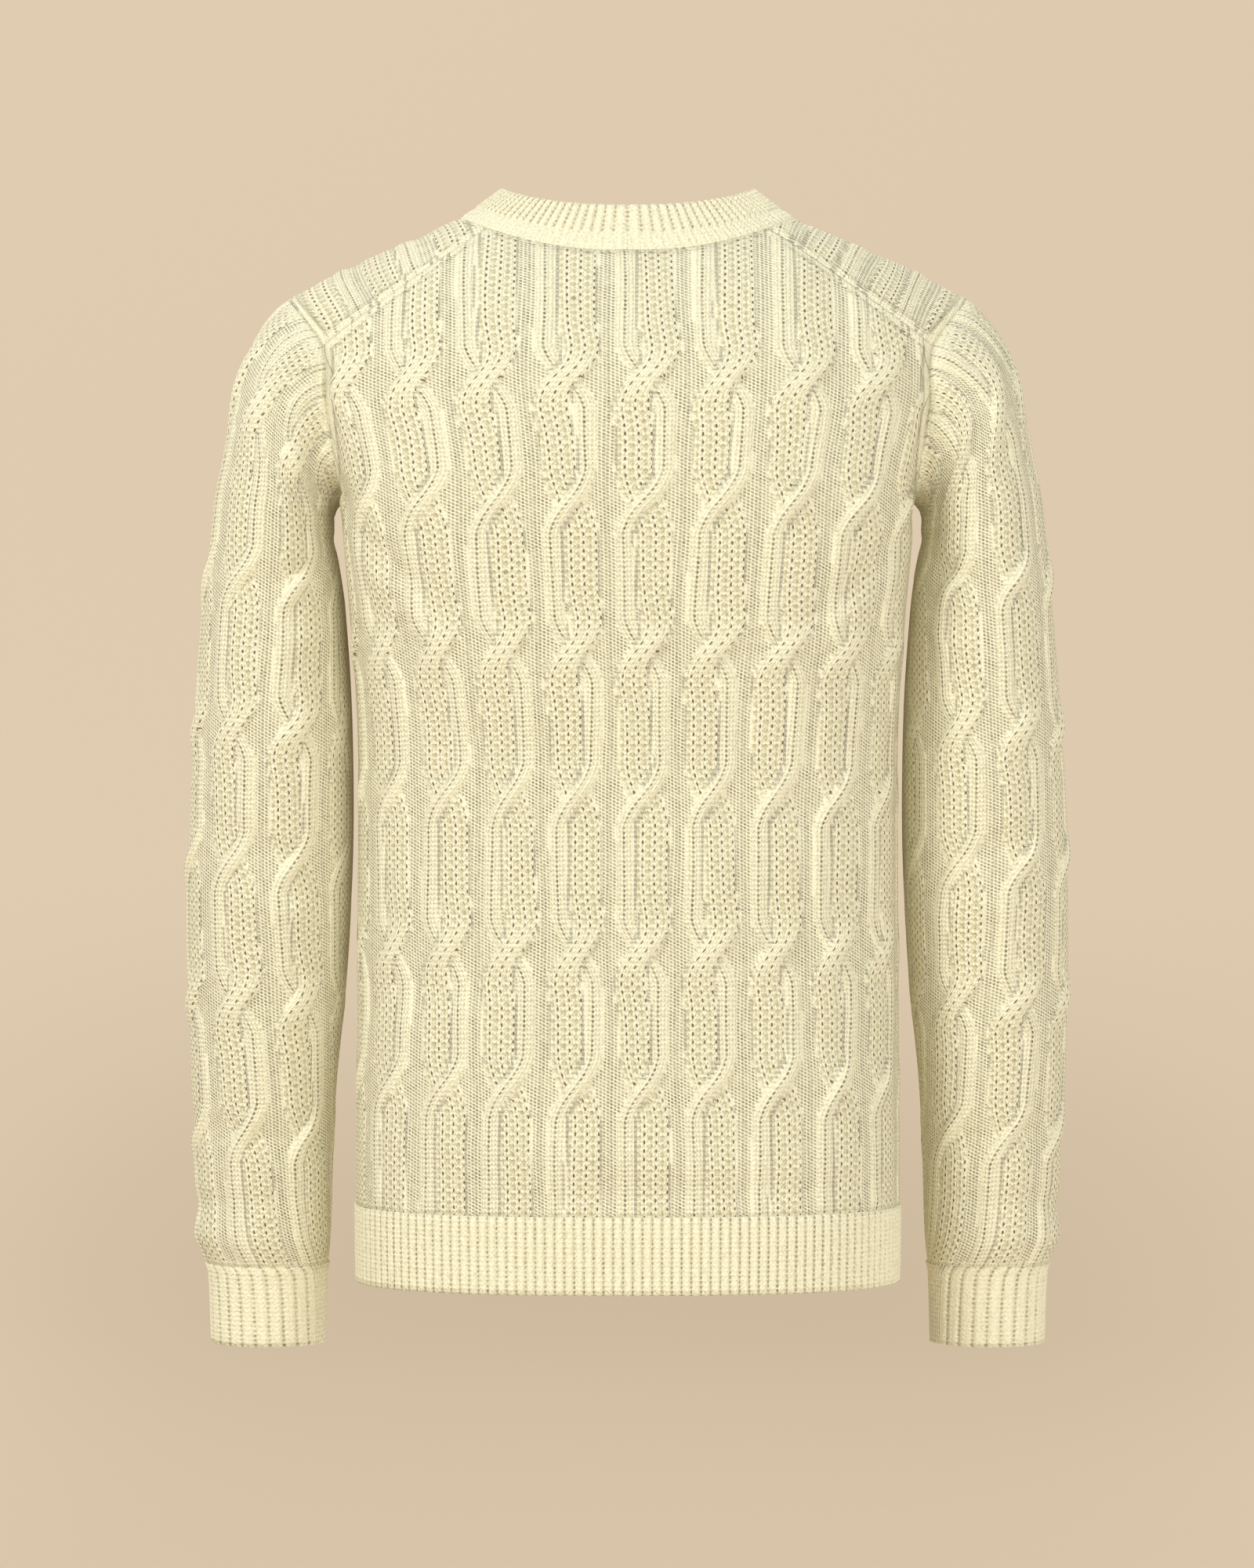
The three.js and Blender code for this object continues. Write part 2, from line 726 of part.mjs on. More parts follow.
// The front's top edge: its own neck line, and beyond the neck corners the back's shoulder edge.
function frontWall(back) {
  const wall = new Wall(inset(frontForm, -1), panelFacing(frontForm, -1), panelLift(frontForm, -1));
  const columns = bodyColumns(-1, NECK_SHARE);
  const rows = bodyRows(10);
  const top = rows.pop();
  const up = () => new THREE.Vector3(0, -1, 1);
  const edge = (line, own, inside) => {
    const seam = line
      .filter(([share]) => Math.abs(share) > back.corner - 1e-6)
      .map(([share, id]) => {
        const out = (Math.abs(share) - back.corner) / (1 - back.corner);
        return back.station(Math.sign(share) * mix(NECK_SHARE, 1, out), id);
      });
    const neck = own
      .filter((s) => Math.abs(s) < NECK_SHARE - 0.004)
      .map((s) => {
        const normal = wall.facing(s, top);
        const away = inside ? -WALL : wall.lift(s, top);
        return { share: s, point: wall.form(s, top).addScaledVector(normal, away), normal };
      });
    const left = apart(seam.filter((k) => k.share < 0), up, false);
    const right = apart(seam.filter((k) => k.share > 0), up, false);
    return [...left, ...neck, ...right];
  };
  const inner = coarser(columns, NECK_SHARE);
  const head = {
    at: top,
    outer: edge(back.found.high, columns, false),
    inner: edge(back.found.innerHigh, inner, true),
  };
  return panel(wall, columns, rows, inner, every(rows, 2, ARMPIT), head, false);
}

// The neck edge of both panels as one ring, for the neckband to follow.
function neckLine(front, back) {
  const frontShare = (share) => {
    const turn = mix(-Math.PI / 2, CORNER_TURN, (Math.abs(share) / NECK_SHARE) ** 1.15);
    return Math.sign(share) * (turn / Math.PI + 0.5);
  };
  const backShare = (share) => {
    const out = Math.abs(backForm(share, UPPER + 100).x) / NECK_SIDE;
    return (Math.sign(share) || 1) * (Math.acos(out ** (NECK_ROUND / 2)) / Math.PI + 0.5);
  };
  const ring = (frontLine, backLine) => {
    const stations = [
      ...frontLine
        .filter(([share]) => Math.abs(share) < NECK_SHARE + 1e-6)
        .map(([share, id]) => front.station(frontShare(share), id)),
      ...backLine
        .filter(([share]) => Math.abs(share) < back.corner - 1e-6)
        .map(([share, id]) => back.station(backShare(share), id)),
    ];
    stations.sort((a, b) => a.share - b.share);
    return apart(stations, (p) => new THREE.Vector3(-p.x, -p.y, 60), true);
  };
  const { high, innerHigh } = front.found;
  return { outer: ring(high, back.found.high), inner: ring(innerHigh, back.found.innerHigh) };
}

// The armhole edge of both panels as one ring, from the underarm up the front and down the back.
function armholeLine(front, back) {
  const edge = ring(ARMHOLE_MID)[120];
  const [kept, full] = [2.2 * SLEEVE_PITCH, 4 * SLEEVE_PITCH];
  const shareOf = (length) =>
    (length <= kept ? length : mix(kept, full, (length - kept) / (edge - kept))) / full;
  const gather = (part) => {
    const rise = front.found.sides[1][part].filter(([v]) => v >= ARMPIT);
    const fall = back.found.sides[1][part].filter(([v]) => v > ARMPIT).reverse().slice(1);
    const line = [
      ...rise.map(([v, id]) => ({ ...front.station(0, id), key: `front ${v}` })),
      ...fall.map(([v, id]) => ({ ...back.station(0, id), key: `back ${v}` })),
    ].map((k) => ({ ...k, point: k.point.clone() }));
    line[0].point.y = 0;
    return line;
  };
  const fine = gather("fine");
  const peak = fine.reduce((best, k, i) => (k.point.z > fine[best].point.z ? i : best), 0);
  const far = [0];
  fine.slice(1).forEach((k, i) => far.push(far[i] + k.point.distanceTo(fine[i].point)));
  const whole = far[far.length - 1] + fine[0].point.distanceTo(fine[fine.length - 1].point);
  const shares = new Map();
  fine.forEach((k, i) => {
    const away = far[i] - far[peak];
    const half = away < 0 ? far[peak] : whole - far[peak];
    shares.set(k.key, Math.sign(away) * shareOf((Math.abs(away) / half) * edge));
  });
  const placed = (line) => line.map((k) => ({ ...k, share: shares.get(k.key) }));
  const outwards = () => new THREE.Vector3(1, 0, 0);
  return {
    outer: apart(placed(fine), outwards, true),
    inner: apart(placed(gather("coarse")), outwards, true),
  };
}

const ribLift = (u) => RIB_LIFT * (0.5 - 0.5 * Math.cos(2 * Math.PI * u));

function hem(side) {
  const ribs = Math.round((2 * section(HEM_TOP, side)[240][0]) / RIB_PITCH);
  const form = (s, h) => level(s, h, side);
  const lift = (s) => 0.1 + ribLift(((s + 1) / 2) * ribs);
  const wall = new Wall(inset(form, side), panelFacing(form, side), lift);
  const rows = [HEM_END, HEM_TOP - SEAM];
  return panel(wall, evenly(-1, 1, 2 * ribs), rows, evenly(-1, 1, Math.round(ribs / 2)), rows, null, true);
}

function mirrored(mesh, name) {
  const copy = mesh.clone();
  copy.geometry = mesh.geometry.clone().scale(-1, 1, 1);
  const index = copy.geometry.index.array;
  for (let i = 0; i < index.length; i += 3) {
    [index[i + 1], index[i + 2]] = [index[i + 2], index[i + 1]];
  }
  copy.name = name;
  return copy;
}

function sleeveFacing() {
  const plain = facingOf(sleeveForm, 1, CUFF_END, ARMHOLE_MID, 1);
  return (s, v) => {
    const found = plain(s, v);
    if (Math.abs(v - CUFF_TOP) < 2) found.z = 0;
    return found.normalize();
  };
}

function sleeve(hand, head) {
  const lift = (s, v) => {
    const u = (hand * Math.sign(s) * ringSpread(s, v)) / SLEEVE_PITCH;
    const inner = 1 - 0.75 * ease((Math.abs(s) - 0.6) / 0.25);
    const top = ease((ARMHOLE_MID - v) / 8);
    const low = ease((v - CUFF_TOP) / 12);
    return 0.2 + cable(u, v, SLEEVE_CROSSINGS) * inner * top * low;
  };
  const columns = panelColumns(4, 0, 0.02).slice(0, -1);
  const rows = crossingRows(CUFF_TOP, ARMHOLE_MID, SLEEVE_CROSSINGS, 18).slice(0, -1);
  rows.push(-116.3);
  const wall = new Wall(sleeveForm, sleeveFacing(), lift);
  return tube(wall, columns, rows, columns.filter((_, i) => i % 2 === 0), every(rows, 2, -170), null, head);
}

function cuff() {
  const ribs = Math.round((2 * ring(CUFF_END)[120]) / RIB_PITCH);
  const lift = (s) => 0.1 + ribLift(((s + 1) / 2) * ribs);
  const wall = new Wall(sleeveForm, sleeveFacing(), lift);
  const columns = evenly(-1, 1, 2 * ribs).slice(0, -1);
  const inner = evenly(-1, 1, ribs).slice(0, -1);
  const rows = [CUFF_END, CUFF_TOP - SEAM];
  return tube(wall, columns, rows, inner, rows);
}

// Neckband: s runs round the neck from the front over one side to the back and on, w from base to top.
function collarForm(s, w) {
  const turn = s * Math.PI - Math.PI / 2;
  const [x, y] = neckPlan(turn, NECK_SIDE, NECK_BACK, NECK_FRONT);
  const foot = shoulder(Math.abs(x), angleAt(Math.abs(x), y));
  foot.x = x;
  const [tx, ty] = neckPlan(turn, COLLAR_SIDE, COLLAR_BACK, COLLAR_FRONT);
  const reach = Math.abs(ty) / (ty > 0 ? COLLAR_BACK : COLLAR_FRONT);
  const dip = ty > 0 ? COLLAR_BACK_DIP : COLLAR_FRONT_DIP;
  const head = new THREE.Vector3(tx, ty, COLLAR_PEAK - dip * reach ** 1.6);
  return foot.lerp(head, w);
}

function neckband(foot) {
  const facing = (s, w) => {
    const wide = collarForm(s + 0.004, w).sub(collarForm(s - 0.004, w));
    const up = collarForm(s, 1).sub(collarForm(s, 0));
    return wide.cross(up).normalize();
  };
  const ribs = 98;
  const lift = (s) => 0.1 + ribLift(((s + 1) / 2) * ribs);
  const wall = new Wall(collarForm, facing, lift);
  const columns = evenly(-1, 1, 2 * ribs).slice(0, -1);
  const rows = [0.3, 1];
  return tube(wall, columns, rows, evenly(-1, 1, 60).slice(0, -1), rows, foot, null);
}

const sweater = new THREE.Group();
sweater.name = "cable_knit_sweater";
const back = backWall();
const front = frontWall(back);
const armhole = armholeLine(front, back);
sweater.add(back.mesh("back"));
sweater.add(front.mesh("front"));
sweater.add(hem(1).mesh("hem_back"));
sweater.add(hem(-1).mesh("hem_front"));
sweater.add(sleeve(1, armhole).mesh("sleeve_left"));
sweater.add(mirrored(sleeve(-1, armhole).mesh("sleeve_right"), "sleeve_right"));
sweater.add(cuff().mesh("cuff_left"));
sweater.add(mirrored(cuff().mesh("cuff_right"), "cuff_right"));
sweater.add(neckband(neckLine(front, back)).mesh("neckband"));

export default sweater;
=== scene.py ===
"""Cable knit sweater, filled out as worn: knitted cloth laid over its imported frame."""

import logging
import math
from dataclasses import dataclass, field
from enum import Enum
import bmesh
import bpy
import numpy as np
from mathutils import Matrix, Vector


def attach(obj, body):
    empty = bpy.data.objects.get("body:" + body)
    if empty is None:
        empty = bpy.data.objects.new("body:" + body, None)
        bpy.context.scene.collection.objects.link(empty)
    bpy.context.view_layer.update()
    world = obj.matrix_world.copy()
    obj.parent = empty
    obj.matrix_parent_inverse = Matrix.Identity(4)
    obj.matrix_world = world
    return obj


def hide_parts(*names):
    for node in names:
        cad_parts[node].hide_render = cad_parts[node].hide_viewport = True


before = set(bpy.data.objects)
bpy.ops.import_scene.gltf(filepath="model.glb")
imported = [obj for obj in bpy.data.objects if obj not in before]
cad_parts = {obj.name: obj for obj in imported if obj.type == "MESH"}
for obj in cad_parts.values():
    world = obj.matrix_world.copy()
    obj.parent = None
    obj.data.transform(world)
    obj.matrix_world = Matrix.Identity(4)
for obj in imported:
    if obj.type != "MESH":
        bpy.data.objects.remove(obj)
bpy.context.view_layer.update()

LOG = logging.getLogger("sweater")
MM = 0.001

# Levels where the pieces meet, in millimetres above the origin.
HEM_END = -656.0
HEM_TOP = -609.0
UPPER = -130.0
ARMPIT = -173.0
CUFF_TOP = -648.5
CUFF_END = -698.5
ARMHOLE_MID = -110.5
ARMHOLE_HALF = 62.5
DOME_BACK = 165.0
DOME_FRONT = 210.0

# Sections of the body: level, half width, depth of the back, depth of the front, fullness.
BODY = (
    (-656, 168, 104, 108, 2.5),
    (-609, 168.5, 105, 110, 2.5),
    (-520, 168, 103, 111, 2.5),
    (-430, 167.5, 100, 110, 2.5),
    (-340, 167, 100, 111, 2.6),
    (-290, 168.5, 103, 113, 2.75),
    (-242, 172, 107, 115, 2.95),
    (-200, 175.5, 110, 116, 3.2),
    (-173, 176.5, 111, 115, 3.3),
    (-150, 188, 111, 114, 2.85),
    (-115, 202, 111, 113, 2.65),
    (-80, 215, 111, 112, 2.6),
    (-40, 230, 111, 112, 2.6),
    (20, 245, 111, 112, 2.6),
)

# Top line of the shoulders: distance from the middle, level.
RIDGE = (
    (0, 8),
    (60, 6.5),
    (90, 4.3),
    (104, 1.5),
    (125, -8),
    (160, -23),
    (185, -34.5),
    (211, -48),
    (235, -62),
)

# Armhole seam: level, distance from the middle.
ARMHOLE = (
    (-173, 176.5),
    (-145, 180),
    (-115, 184),
    (-81, 187),
    (-48, 211),
    (-40, 218),
)

# Sections of a sleeve: level of its middle, outer x, inner x, tilt, half depth, offset to the front.
SLEEVE = (
    (-698.5, 260.5, 191, 0, 34, 26),
    (-654.5, 262, 189.5, 0, 35.5, 23),
    (-646.5, 264.5, 188, 0, 38, 22.5),
    (-629, 268.5, 186.5, 0, 41.5, 21),
    (-585, 270.5, 185, 0, 44, 18),
    (-535, 272, 182.5, 0, 47, 15),
    (-486, 273.5, 177.5, 0, 50, 12),
    (-437, 274, 173.7, 0, 53, 9),
    (-388, 273, 171.6, 0, 55.5, 7),
    (-340, 270.5, 171.4, 0, 57.5, 5),
    (-290, 267.5, 172.8, 0, 59, 3.5),
    (-242, 263.5, 176.2, 0, 60, 2.5),
    (-219, 261, 178.6, 2, 60.5, 2),
    (-200, 258.5, 181.2, 7, 61, 1.5),
    (-183, 255.5, 183.5, 15, 61, 1),
    (-167.5, 250.5, 183.2, 23.5, 61, 0.5),
    (-153, 246, 183.3, 33, 61, 0),
    (-138.5, 239.5, 183, 43.5, 61, 0),
    (-124.8, 230.5, 182.3, 53.8, 61, 0),
    (-116.3, 221, 180.6, 59.3, 61, 0),
    (-110.5, 211, 176.8, 62.5, 61, 0),
)

# A soft crease: place across, level, reach along it, reach aside, turn in degrees, height.
Crease = tuple[float, float, float, float, float, float]
BACK_CREASES: tuple[Crease, ...] = (
    (150, -215, 46, 9, 38, -3.0),
    (138, -240, 52, 10, 42, 2.4),
    (-150, -222, 50, 9, -36, -3.2),
    (-134, -250, 46, 11, -44, 2.2),
    (60, -330, 90, 20, 8, -1.9),
    (-70, -398, 95, 22, -6, 2.0),
    (112, -470, 60, 15, -14, -2.2),
    (-118, -505, 64, 14, 12, -2.0),
    (20, -572, 110, 13, 3, 2.2),
    (-30, -596, 120, 9, -2, -1.8),
    (0, -62, 70, 14, 0, -1.6),
)
FRONT_CREASES: tuple[Crease, ...] = (
    (146, -218, 50, 10, 40, -3.5),
    (-142, -226, 48, 10, -42, -3.2),
    (128, -248, 54, 12, 44, 2.6),
    (-126, -258, 50, 12, -38, 2.7),
    (-40, -352, 96, 22, 9, -2.2),
    (66, -424, 84, 20, -10, 2.2),
    (-96, -492, 60, 16, 14, -2.2),
    (104, -540, 66, 15, -9, -2.0),
    (-10, -580, 120, 12, -2, 2.2),
)
SLEEVE_CREASES: tuple[Crease, ...] = (
    (112, -214, 40, 8, 24, -3.2),
    (-116, -226, 42, 9, -20, -3.0),
    (118, -258, 44, 10, 16, 2.4),
    (96, -392, 42, 9, -18, -2.6),
    (-104, -404, 46, 9, 15, -2.8),
    (100, -428, 40, 11, -12, 2.3),
    (-92, -446, 44, 12, 10, 2.2),
    (64, -566, 50, 9, -8, -2.2),
    (-70, -584, 52, 9, 7, -2.3),
    (20, -610, 80, 8, 4, -1.8),
    (-20, -628, 84, 8, -3, 2.4),
)


def ease(share: np.ndarray) -> np.ndarray:
    """Smooth step from 0 to 1 as share goes from 0 to 1."""
    held = np.clip(share, 0.0, 1.0)
    return held * held * (3.0 - 2.0 * held)


def mix(low: np.ndarray, high: np.ndarray, share: np.ndarray) -> np.ndarray:
    """Straight blend of low and high."""
    return low + (high - low) * share


def read(table: tuple, key: np.ndarray, column: int) -> np.ndarray:
    """Read a column of a table smoothly.

    Args:
        table: Rows that rise by their first number.
        key: Places to read at, in the first number's units.
        column: Which number of a row is read.

    Returns:
        The column's values at the key, held at both ends.
    """
    rows = np.asarray(table, float)
    keys, values = rows[:, 0], rows[:, column]
    order = np.arange(len(keys))
    low, high = np.maximum(order - 1, 0), np.minimum(order + 1, len(keys) - 1)
    slope = (values[high] - values[low]) / (keys[high] - keys[low])
    held = np.clip(key, keys[0], keys[-1])
    i = np.clip(np.searchsorted(keys, held, side="right") - 1, 0, len(keys) - 2)
    wide = keys[i + 1] - keys[i]
    t = (held - keys[i]) / wide
    t2, t3 = t * t, t * t * t
    return (
        values[i] * (2 * t3 - 3 * t2 + 1)
        + slope[i] * wide * (t3 - 2 * t2 + t)
        + values[i + 1] * (3 * t2 - 2 * t3)
        + slope[i + 1] * wide * (t3 - t2)
    )


def points(x: np.ndarray, y: np.ndarray, z: np.ndarray) -> np.ndarray:
    """Stack x, y and z, spread over each other's shape, into points."""
    return np.stack(np.broadcast_arrays(x, y, z), axis=-1).astype(float)


@dataclass
class BodyForm:
    """Filled-out form of the body panels, from the hem to the shoulder seams and the neck."""

    neck_side: float = 104.0
    neck_back: float = 66.0
    neck_front: float = 92.0
    neck_round: float = 2.3
    shoulder_x: float = 86.0
    shoulder_slope: float = 0.7224
    neck_share: float = 0.49
    yoke_stretch: float = 0.07
    tables: dict = field(default_factory=dict)

    def ridge(self, x: np.ndarray) -> np.ndarray:
        """Level of the top of the shoulders at x."""
        return read(RIDGE, np.abs(x), 1)

    def dome(self, side: np.ndarray) -> np.ndarray:
        """How far below the ridge a side takes to reach its full depth."""
        return np.where(np.asarray(side) > 0, DOME_BACK, DOME_FRONT)

    def depth(self, x: np.ndarray, z: np.ndarray, side: np.ndarray) -> np.ndarray:
        """Half depth of the full section at x and a level, on a side."""
        full = read(BODY, z, 4)
        left = np.clip(1.0 - (np.abs(x) / read(BODY, z, 1)) ** full, 0.0, 1.0)
        return np.where(np.asarray(side) > 0, read(BODY, z, 2), read(BODY, z, 3)) * left ** (1.0 / full)

    def skin(self, x: np.ndarray, z: np.ndarray, side: np.ndarray) -> np.ndarray:
        """Y of the cloth at x and a level, on a side."""
        drop = np.clip((self.ridge(x) - z) / self.dome(side), 0.0, 1.0)
        return side * self.depth(x, z, side) * np.sqrt(1.0 - (1.0 - drop) ** 2)

    def shoulder(self, x: np.ndarray, angle: np.ndarray) -> np.ndarray:
        """Points on the shoulder at x, turned from the ridge: positive to the front."""
        side = np.where(angle > 0, -1.0, 1.0)
        z = self.ridge(x) - self.dome(side) * (1.0 - np.cos(angle))
        return points(x, side * self.depth(x, z, side) * np.sin(np.abs(angle)), z)

    def angle_at(self, x: np.ndarray, y: np.ndarray) -> np.ndarray:
        """Turn from the ridge at which the shoulder has this y."""
        side = np.where(y > 0, 1.0, -1.0)
        angle = np.zeros(np.broadcast(x, y).shape)
        for _ in range(6):
            z = self.ridge(x) - self.dome(side) * (1.0 - np.cos(angle))
            angle = np.arcsin(np.clip(np.abs(y) / np.maximum(self.depth(x, z, side), 1e-6), 0.0, 1.0))
        return -side * angle

    def neck_plan(
        self, turn: np.ndarray, across: np.ndarray, back: np.ndarray, front: np.ndarray
    ) -> tuple[np.ndarray, np.ndarray]:
        """Neck line in plan at a turn from the side: positive to the back."""
        c, s = np.cos(turn), np.sin(turn)
        power = 2.0 / self.neck_round
        x = np.sign(c) * across * np.abs(c) ** power
        return x, np.sign(s) * np.where(s > 0, back, front) * np.abs(s) ** power

    def back_top(self, x: np.ndarray) -> np.ndarray:
        """Level of the back's top edge: the neck line, then the dropped shoulder seam."""
        r = np.minimum(np.abs(x), self.shoulder_x)
        y = self.neck_back * (1.0 - (r / self.neck_side) ** self.neck_round) ** (1.0 / self.neck_round)
        level = self.shoulder(r, self.angle_at(r, y))[..., 2]
        return level - self.shoulder_slope * np.maximum(np.abs(x) - self.shoulder_x, 0.0)

    def arc_table(self, side: int) -> tuple[np.ndarray, np.ndarray]:
        """Half girths, and x at even shares of them, for each millimetre of level."""
        if side not in self.tables:
            z = np.arange(HEM_END, 9.0)[:, None]
            wide = read(BODY, z, 1)
            edge = np.where(z > ARMPIT, np.minimum(read(ARMHOLE, z, 1), wide), wide)
            full = read(BODY, z, 4)
            turn = np.arcsin(np.clip((edge / wide) ** (full / 2.0), 0.0, 1.0))
            x = wide * np.sin(turn * np.linspace(0.0, 1.0, 241)) ** (2.0 / full)
            y = self.skin(x, z, side)
            run = np.concatenate([np.zeros_like(z), np.cumsum(np.hypot(np.diff(x), np.diff(y)), axis=1)], axis=1)
            shares = np.linspace(0.0, 1.0, 241)
            even = np.array([np.interp(shares * r[-1], r, row) for r, row in zip(run, x)])
            self.tables[side] = (run[:, -1], even)
        return self.tables[side]

    def girth(self, z: np.ndarray, side: int) -> np.ndarray:
        """Length along the cloth from the middle to the panel's edge at a level."""
        return np.interp(z, np.arange(HEM_END, 9.0), self.arc_table(side)[0])

    def x_along(self, length: np.ndarray, z: np.ndarray, side: int) -> np.ndarray:
        """X at a length along the cloth from the middle, at a level."""
        even = self.arc_table(side)[1]
        share = np.clip(length / self.girth(z, side), 0.0, 1.0) * (even.shape[1] - 1)
        high = np.clip(z - HEM_END, 0.0, even.shape[0] - 1.001)
        i, j = np.minimum(share.astype(int), even.shape[1] - 2), high.astype(int)
        a, b = share - i, high - j
        return mix(mix(even[j, i], even[j, i + 1], a), mix(even[j + 1, i], even[j + 1, i + 1], a), b)

    def widen(self, z: np.ndarray) -> np.ndarray:
        """How far the yoke pulls the wales apart at a level."""
        return 1.0 + self.yoke_stretch * ease((z - ARMPIT) / 70.0)

    def spread(self, s: np.ndarray, z: np.ndarray, side: int) -> np.ndarray:
        """Length along the cloth for a share of the panel; the armhole cuts the wales short."""
        edge = self.girth(z, side)
        chest = self.girth(np.float64(ARMPIT), side) * self.widen(z)
        kept = 0.7 * chest
        nominal = np.abs(s) * chest
        cut = np.where(nominal <= kept, nominal, mix(kept, edge, (nominal - kept) / (chest - kept)))
        return np.where(z <= ARMPIT, np.abs(s) * edge, cut)

    def on_level(self, s: np.ndarray, z: np.ndarray, side: int) -> np.ndarray:
        """Points of a panel at a share of its width and a level."""
        s, z = np.broadcast_arrays(s, z)
        x = np.sign(s) * self.x_along(self.spread(s, z, side), z, side)
        return points(x, self.skin(x, z, side), z)

    def back(self, s: np.ndarray, h: np.ndarray) -> np.ndarray:
        """Points of the back: h is the level up to UPPER, and 100 more is its top edge."""
        top = np.full(s.shape, -40.0)
        for _ in range(14):
            top = mix(top, self.back_top(self.x_along(self.spread(s, top, 1), top, 1)), 0.6)
        z = np.where(h <= UPPER, h, mix(UPPER, top, np.maximum(h - UPPER, 0.0) / 100.0))
        return self.on_level(s, z, 1)

    def around_neck(self, x: np.ndarray, angle: np.ndarray) -> tuple[np.ndarray, np.ndarray]:
        """Turn round the neck, and size against the neck line, of a place on the shoulder."""
        y = self.shoulder(x, angle)[..., 1]
        wide = (x / self.neck_side) ** (self.neck_round / 2.0)
        deep = (np.abs(y) / np.where(y > 0, self.neck_back, self.neck_front)) ** (self.neck_round / 2.0)
        return np.sign(y) * np.arctan2(deep, wide), np.hypot(wide, deep) ** (2.0 / self.neck_round)

    def armhole_turn(self, angle: np.ndarray) -> np.ndarray:
        """X of the armhole at a turn from the ridge."""
        x = np.full(np.shape(angle), 200.0)
        for _ in range(30):
            x = mix(x, read(ARMHOLE, self.shoulder(x, angle)[..., 2], 1), 0.5)
        return x

    def corner(self) -> float:
        """X where the shoulder seam meets the armhole."""
        x = np.float64(187.0)
        for _ in range(20):
            x = mix(x, read(ARMHOLE, self.back_top(x), 1), 0.5)
        return float(x)

    def front_plan(self, s: np.ndarray, w: np.ndarray) -> tuple[np.ndarray, np.ndarray]:
        """X and turn of the front's wales on their way over the shoulder, w from 0 to 1."""
        r = np.abs(s)
        start_x = self.x_along(self.spread(r, np.full(r.shape, UPPER), -1), np.full(r.shape, UPPER), -1)
        start_angle = np.arccos(1.0 - (self.ridge(start_x) - UPPER) / DOME_FRONT)
        corner_turn = math.acos((self.shoulder_x / self.neck_side) ** (self.neck_round / 2.0))
        seam_x = mix(self.shoulder_x, self.corner(), (r - self.neck_share) / (1.0 - self.neck_share))
        seam_angle = -np.arccos(np.clip(1.0 - (self.ridge(seam_x) - self.back_top(seam_x)) / DOME_BACK, -1, 1))
        turn = mix(-math.pi / 2, corner_turn, (np.minimum(r, self.neck_share) / self.neck_share) ** 1.15)
        x, y = self.neck_plan(turn, self.neck_side, self.neck_back, self.neck_front)
        x = np.maximum(x, 0.0)
        over = r > self.neck_share
        end_x = np.where(over, seam_x, x)
        end_angle = np.where(over, seam_angle, self.angle_at(x, y))
        from_turn, from_size = self.around_neck(start_x, start_angle)
        to_turn, to_size = self.around_neck(end_x, end_angle)
        angle = mix(start_angle, end_angle, w)
        passed = (np.sin(start_angle) - np.sin(angle)) / (np.sin(start_angle) - np.sin(end_angle))
        turn, size = mix(from_turn, to_turn, passed), mix(from_size, to_size, passed)
        x, y = self.neck_plan(turn, self.neck_side * size, self.neck_back * size, self.neck_front * size)
        return x, self.angle_at(x, y)

    def front(self, s: np.ndarray, h: np.ndarray) -> np.ndarray:
        """Points of the front: past UPPER it runs over the shoulder to the back's seam."""
        low = self.on_level(s, np.minimum(h, UPPER), -1)
        w = np.clip((h - UPPER) / 100.0, 0.0, 1.0)
        x, angle = self.front_plan(s + 0.0 * w, w)
        edge_x, edge_angle = self.front_plan(np.ones_like(s) + 0.0 * w, w)
        high = self.shoulder(x + (self.armhole_turn(edge_angle) - edge_x) * np.abs(s) ** 5, angle)
        high[..., 0] *= np.where(s < 0, -1.0, 1.0)
        return np.where((h <= UPPER)[..., None], low, high)

    def collar(self, s: np.ndarray, w: np.ndarray, top: "Neckband") -> np.ndarray:
        """Points of the neckband: s round the neck from the front, w from its foot to its top."""
        turn = s * math.pi - math.pi / 2
        x, y = self.neck_plan(turn, self.neck_side, self.neck_back, self.neck_front)
        foot = self.shoulder(np.abs(x), self.angle_at(np.abs(x), y))
        foot[..., 0] = x
        head_x, head_y = self.neck_plan(turn, top.side, top.back, top.front)
        reach = np.abs(head_y) / np.where(head_y > 0, top.back, top.front)
        dip = np.where(head_y > 0, top.back_dip, top.front_dip)
        head = points(head_x, head_y, top.peak - dip * reach**1.6)
        return mix(foot, head, w[..., None])


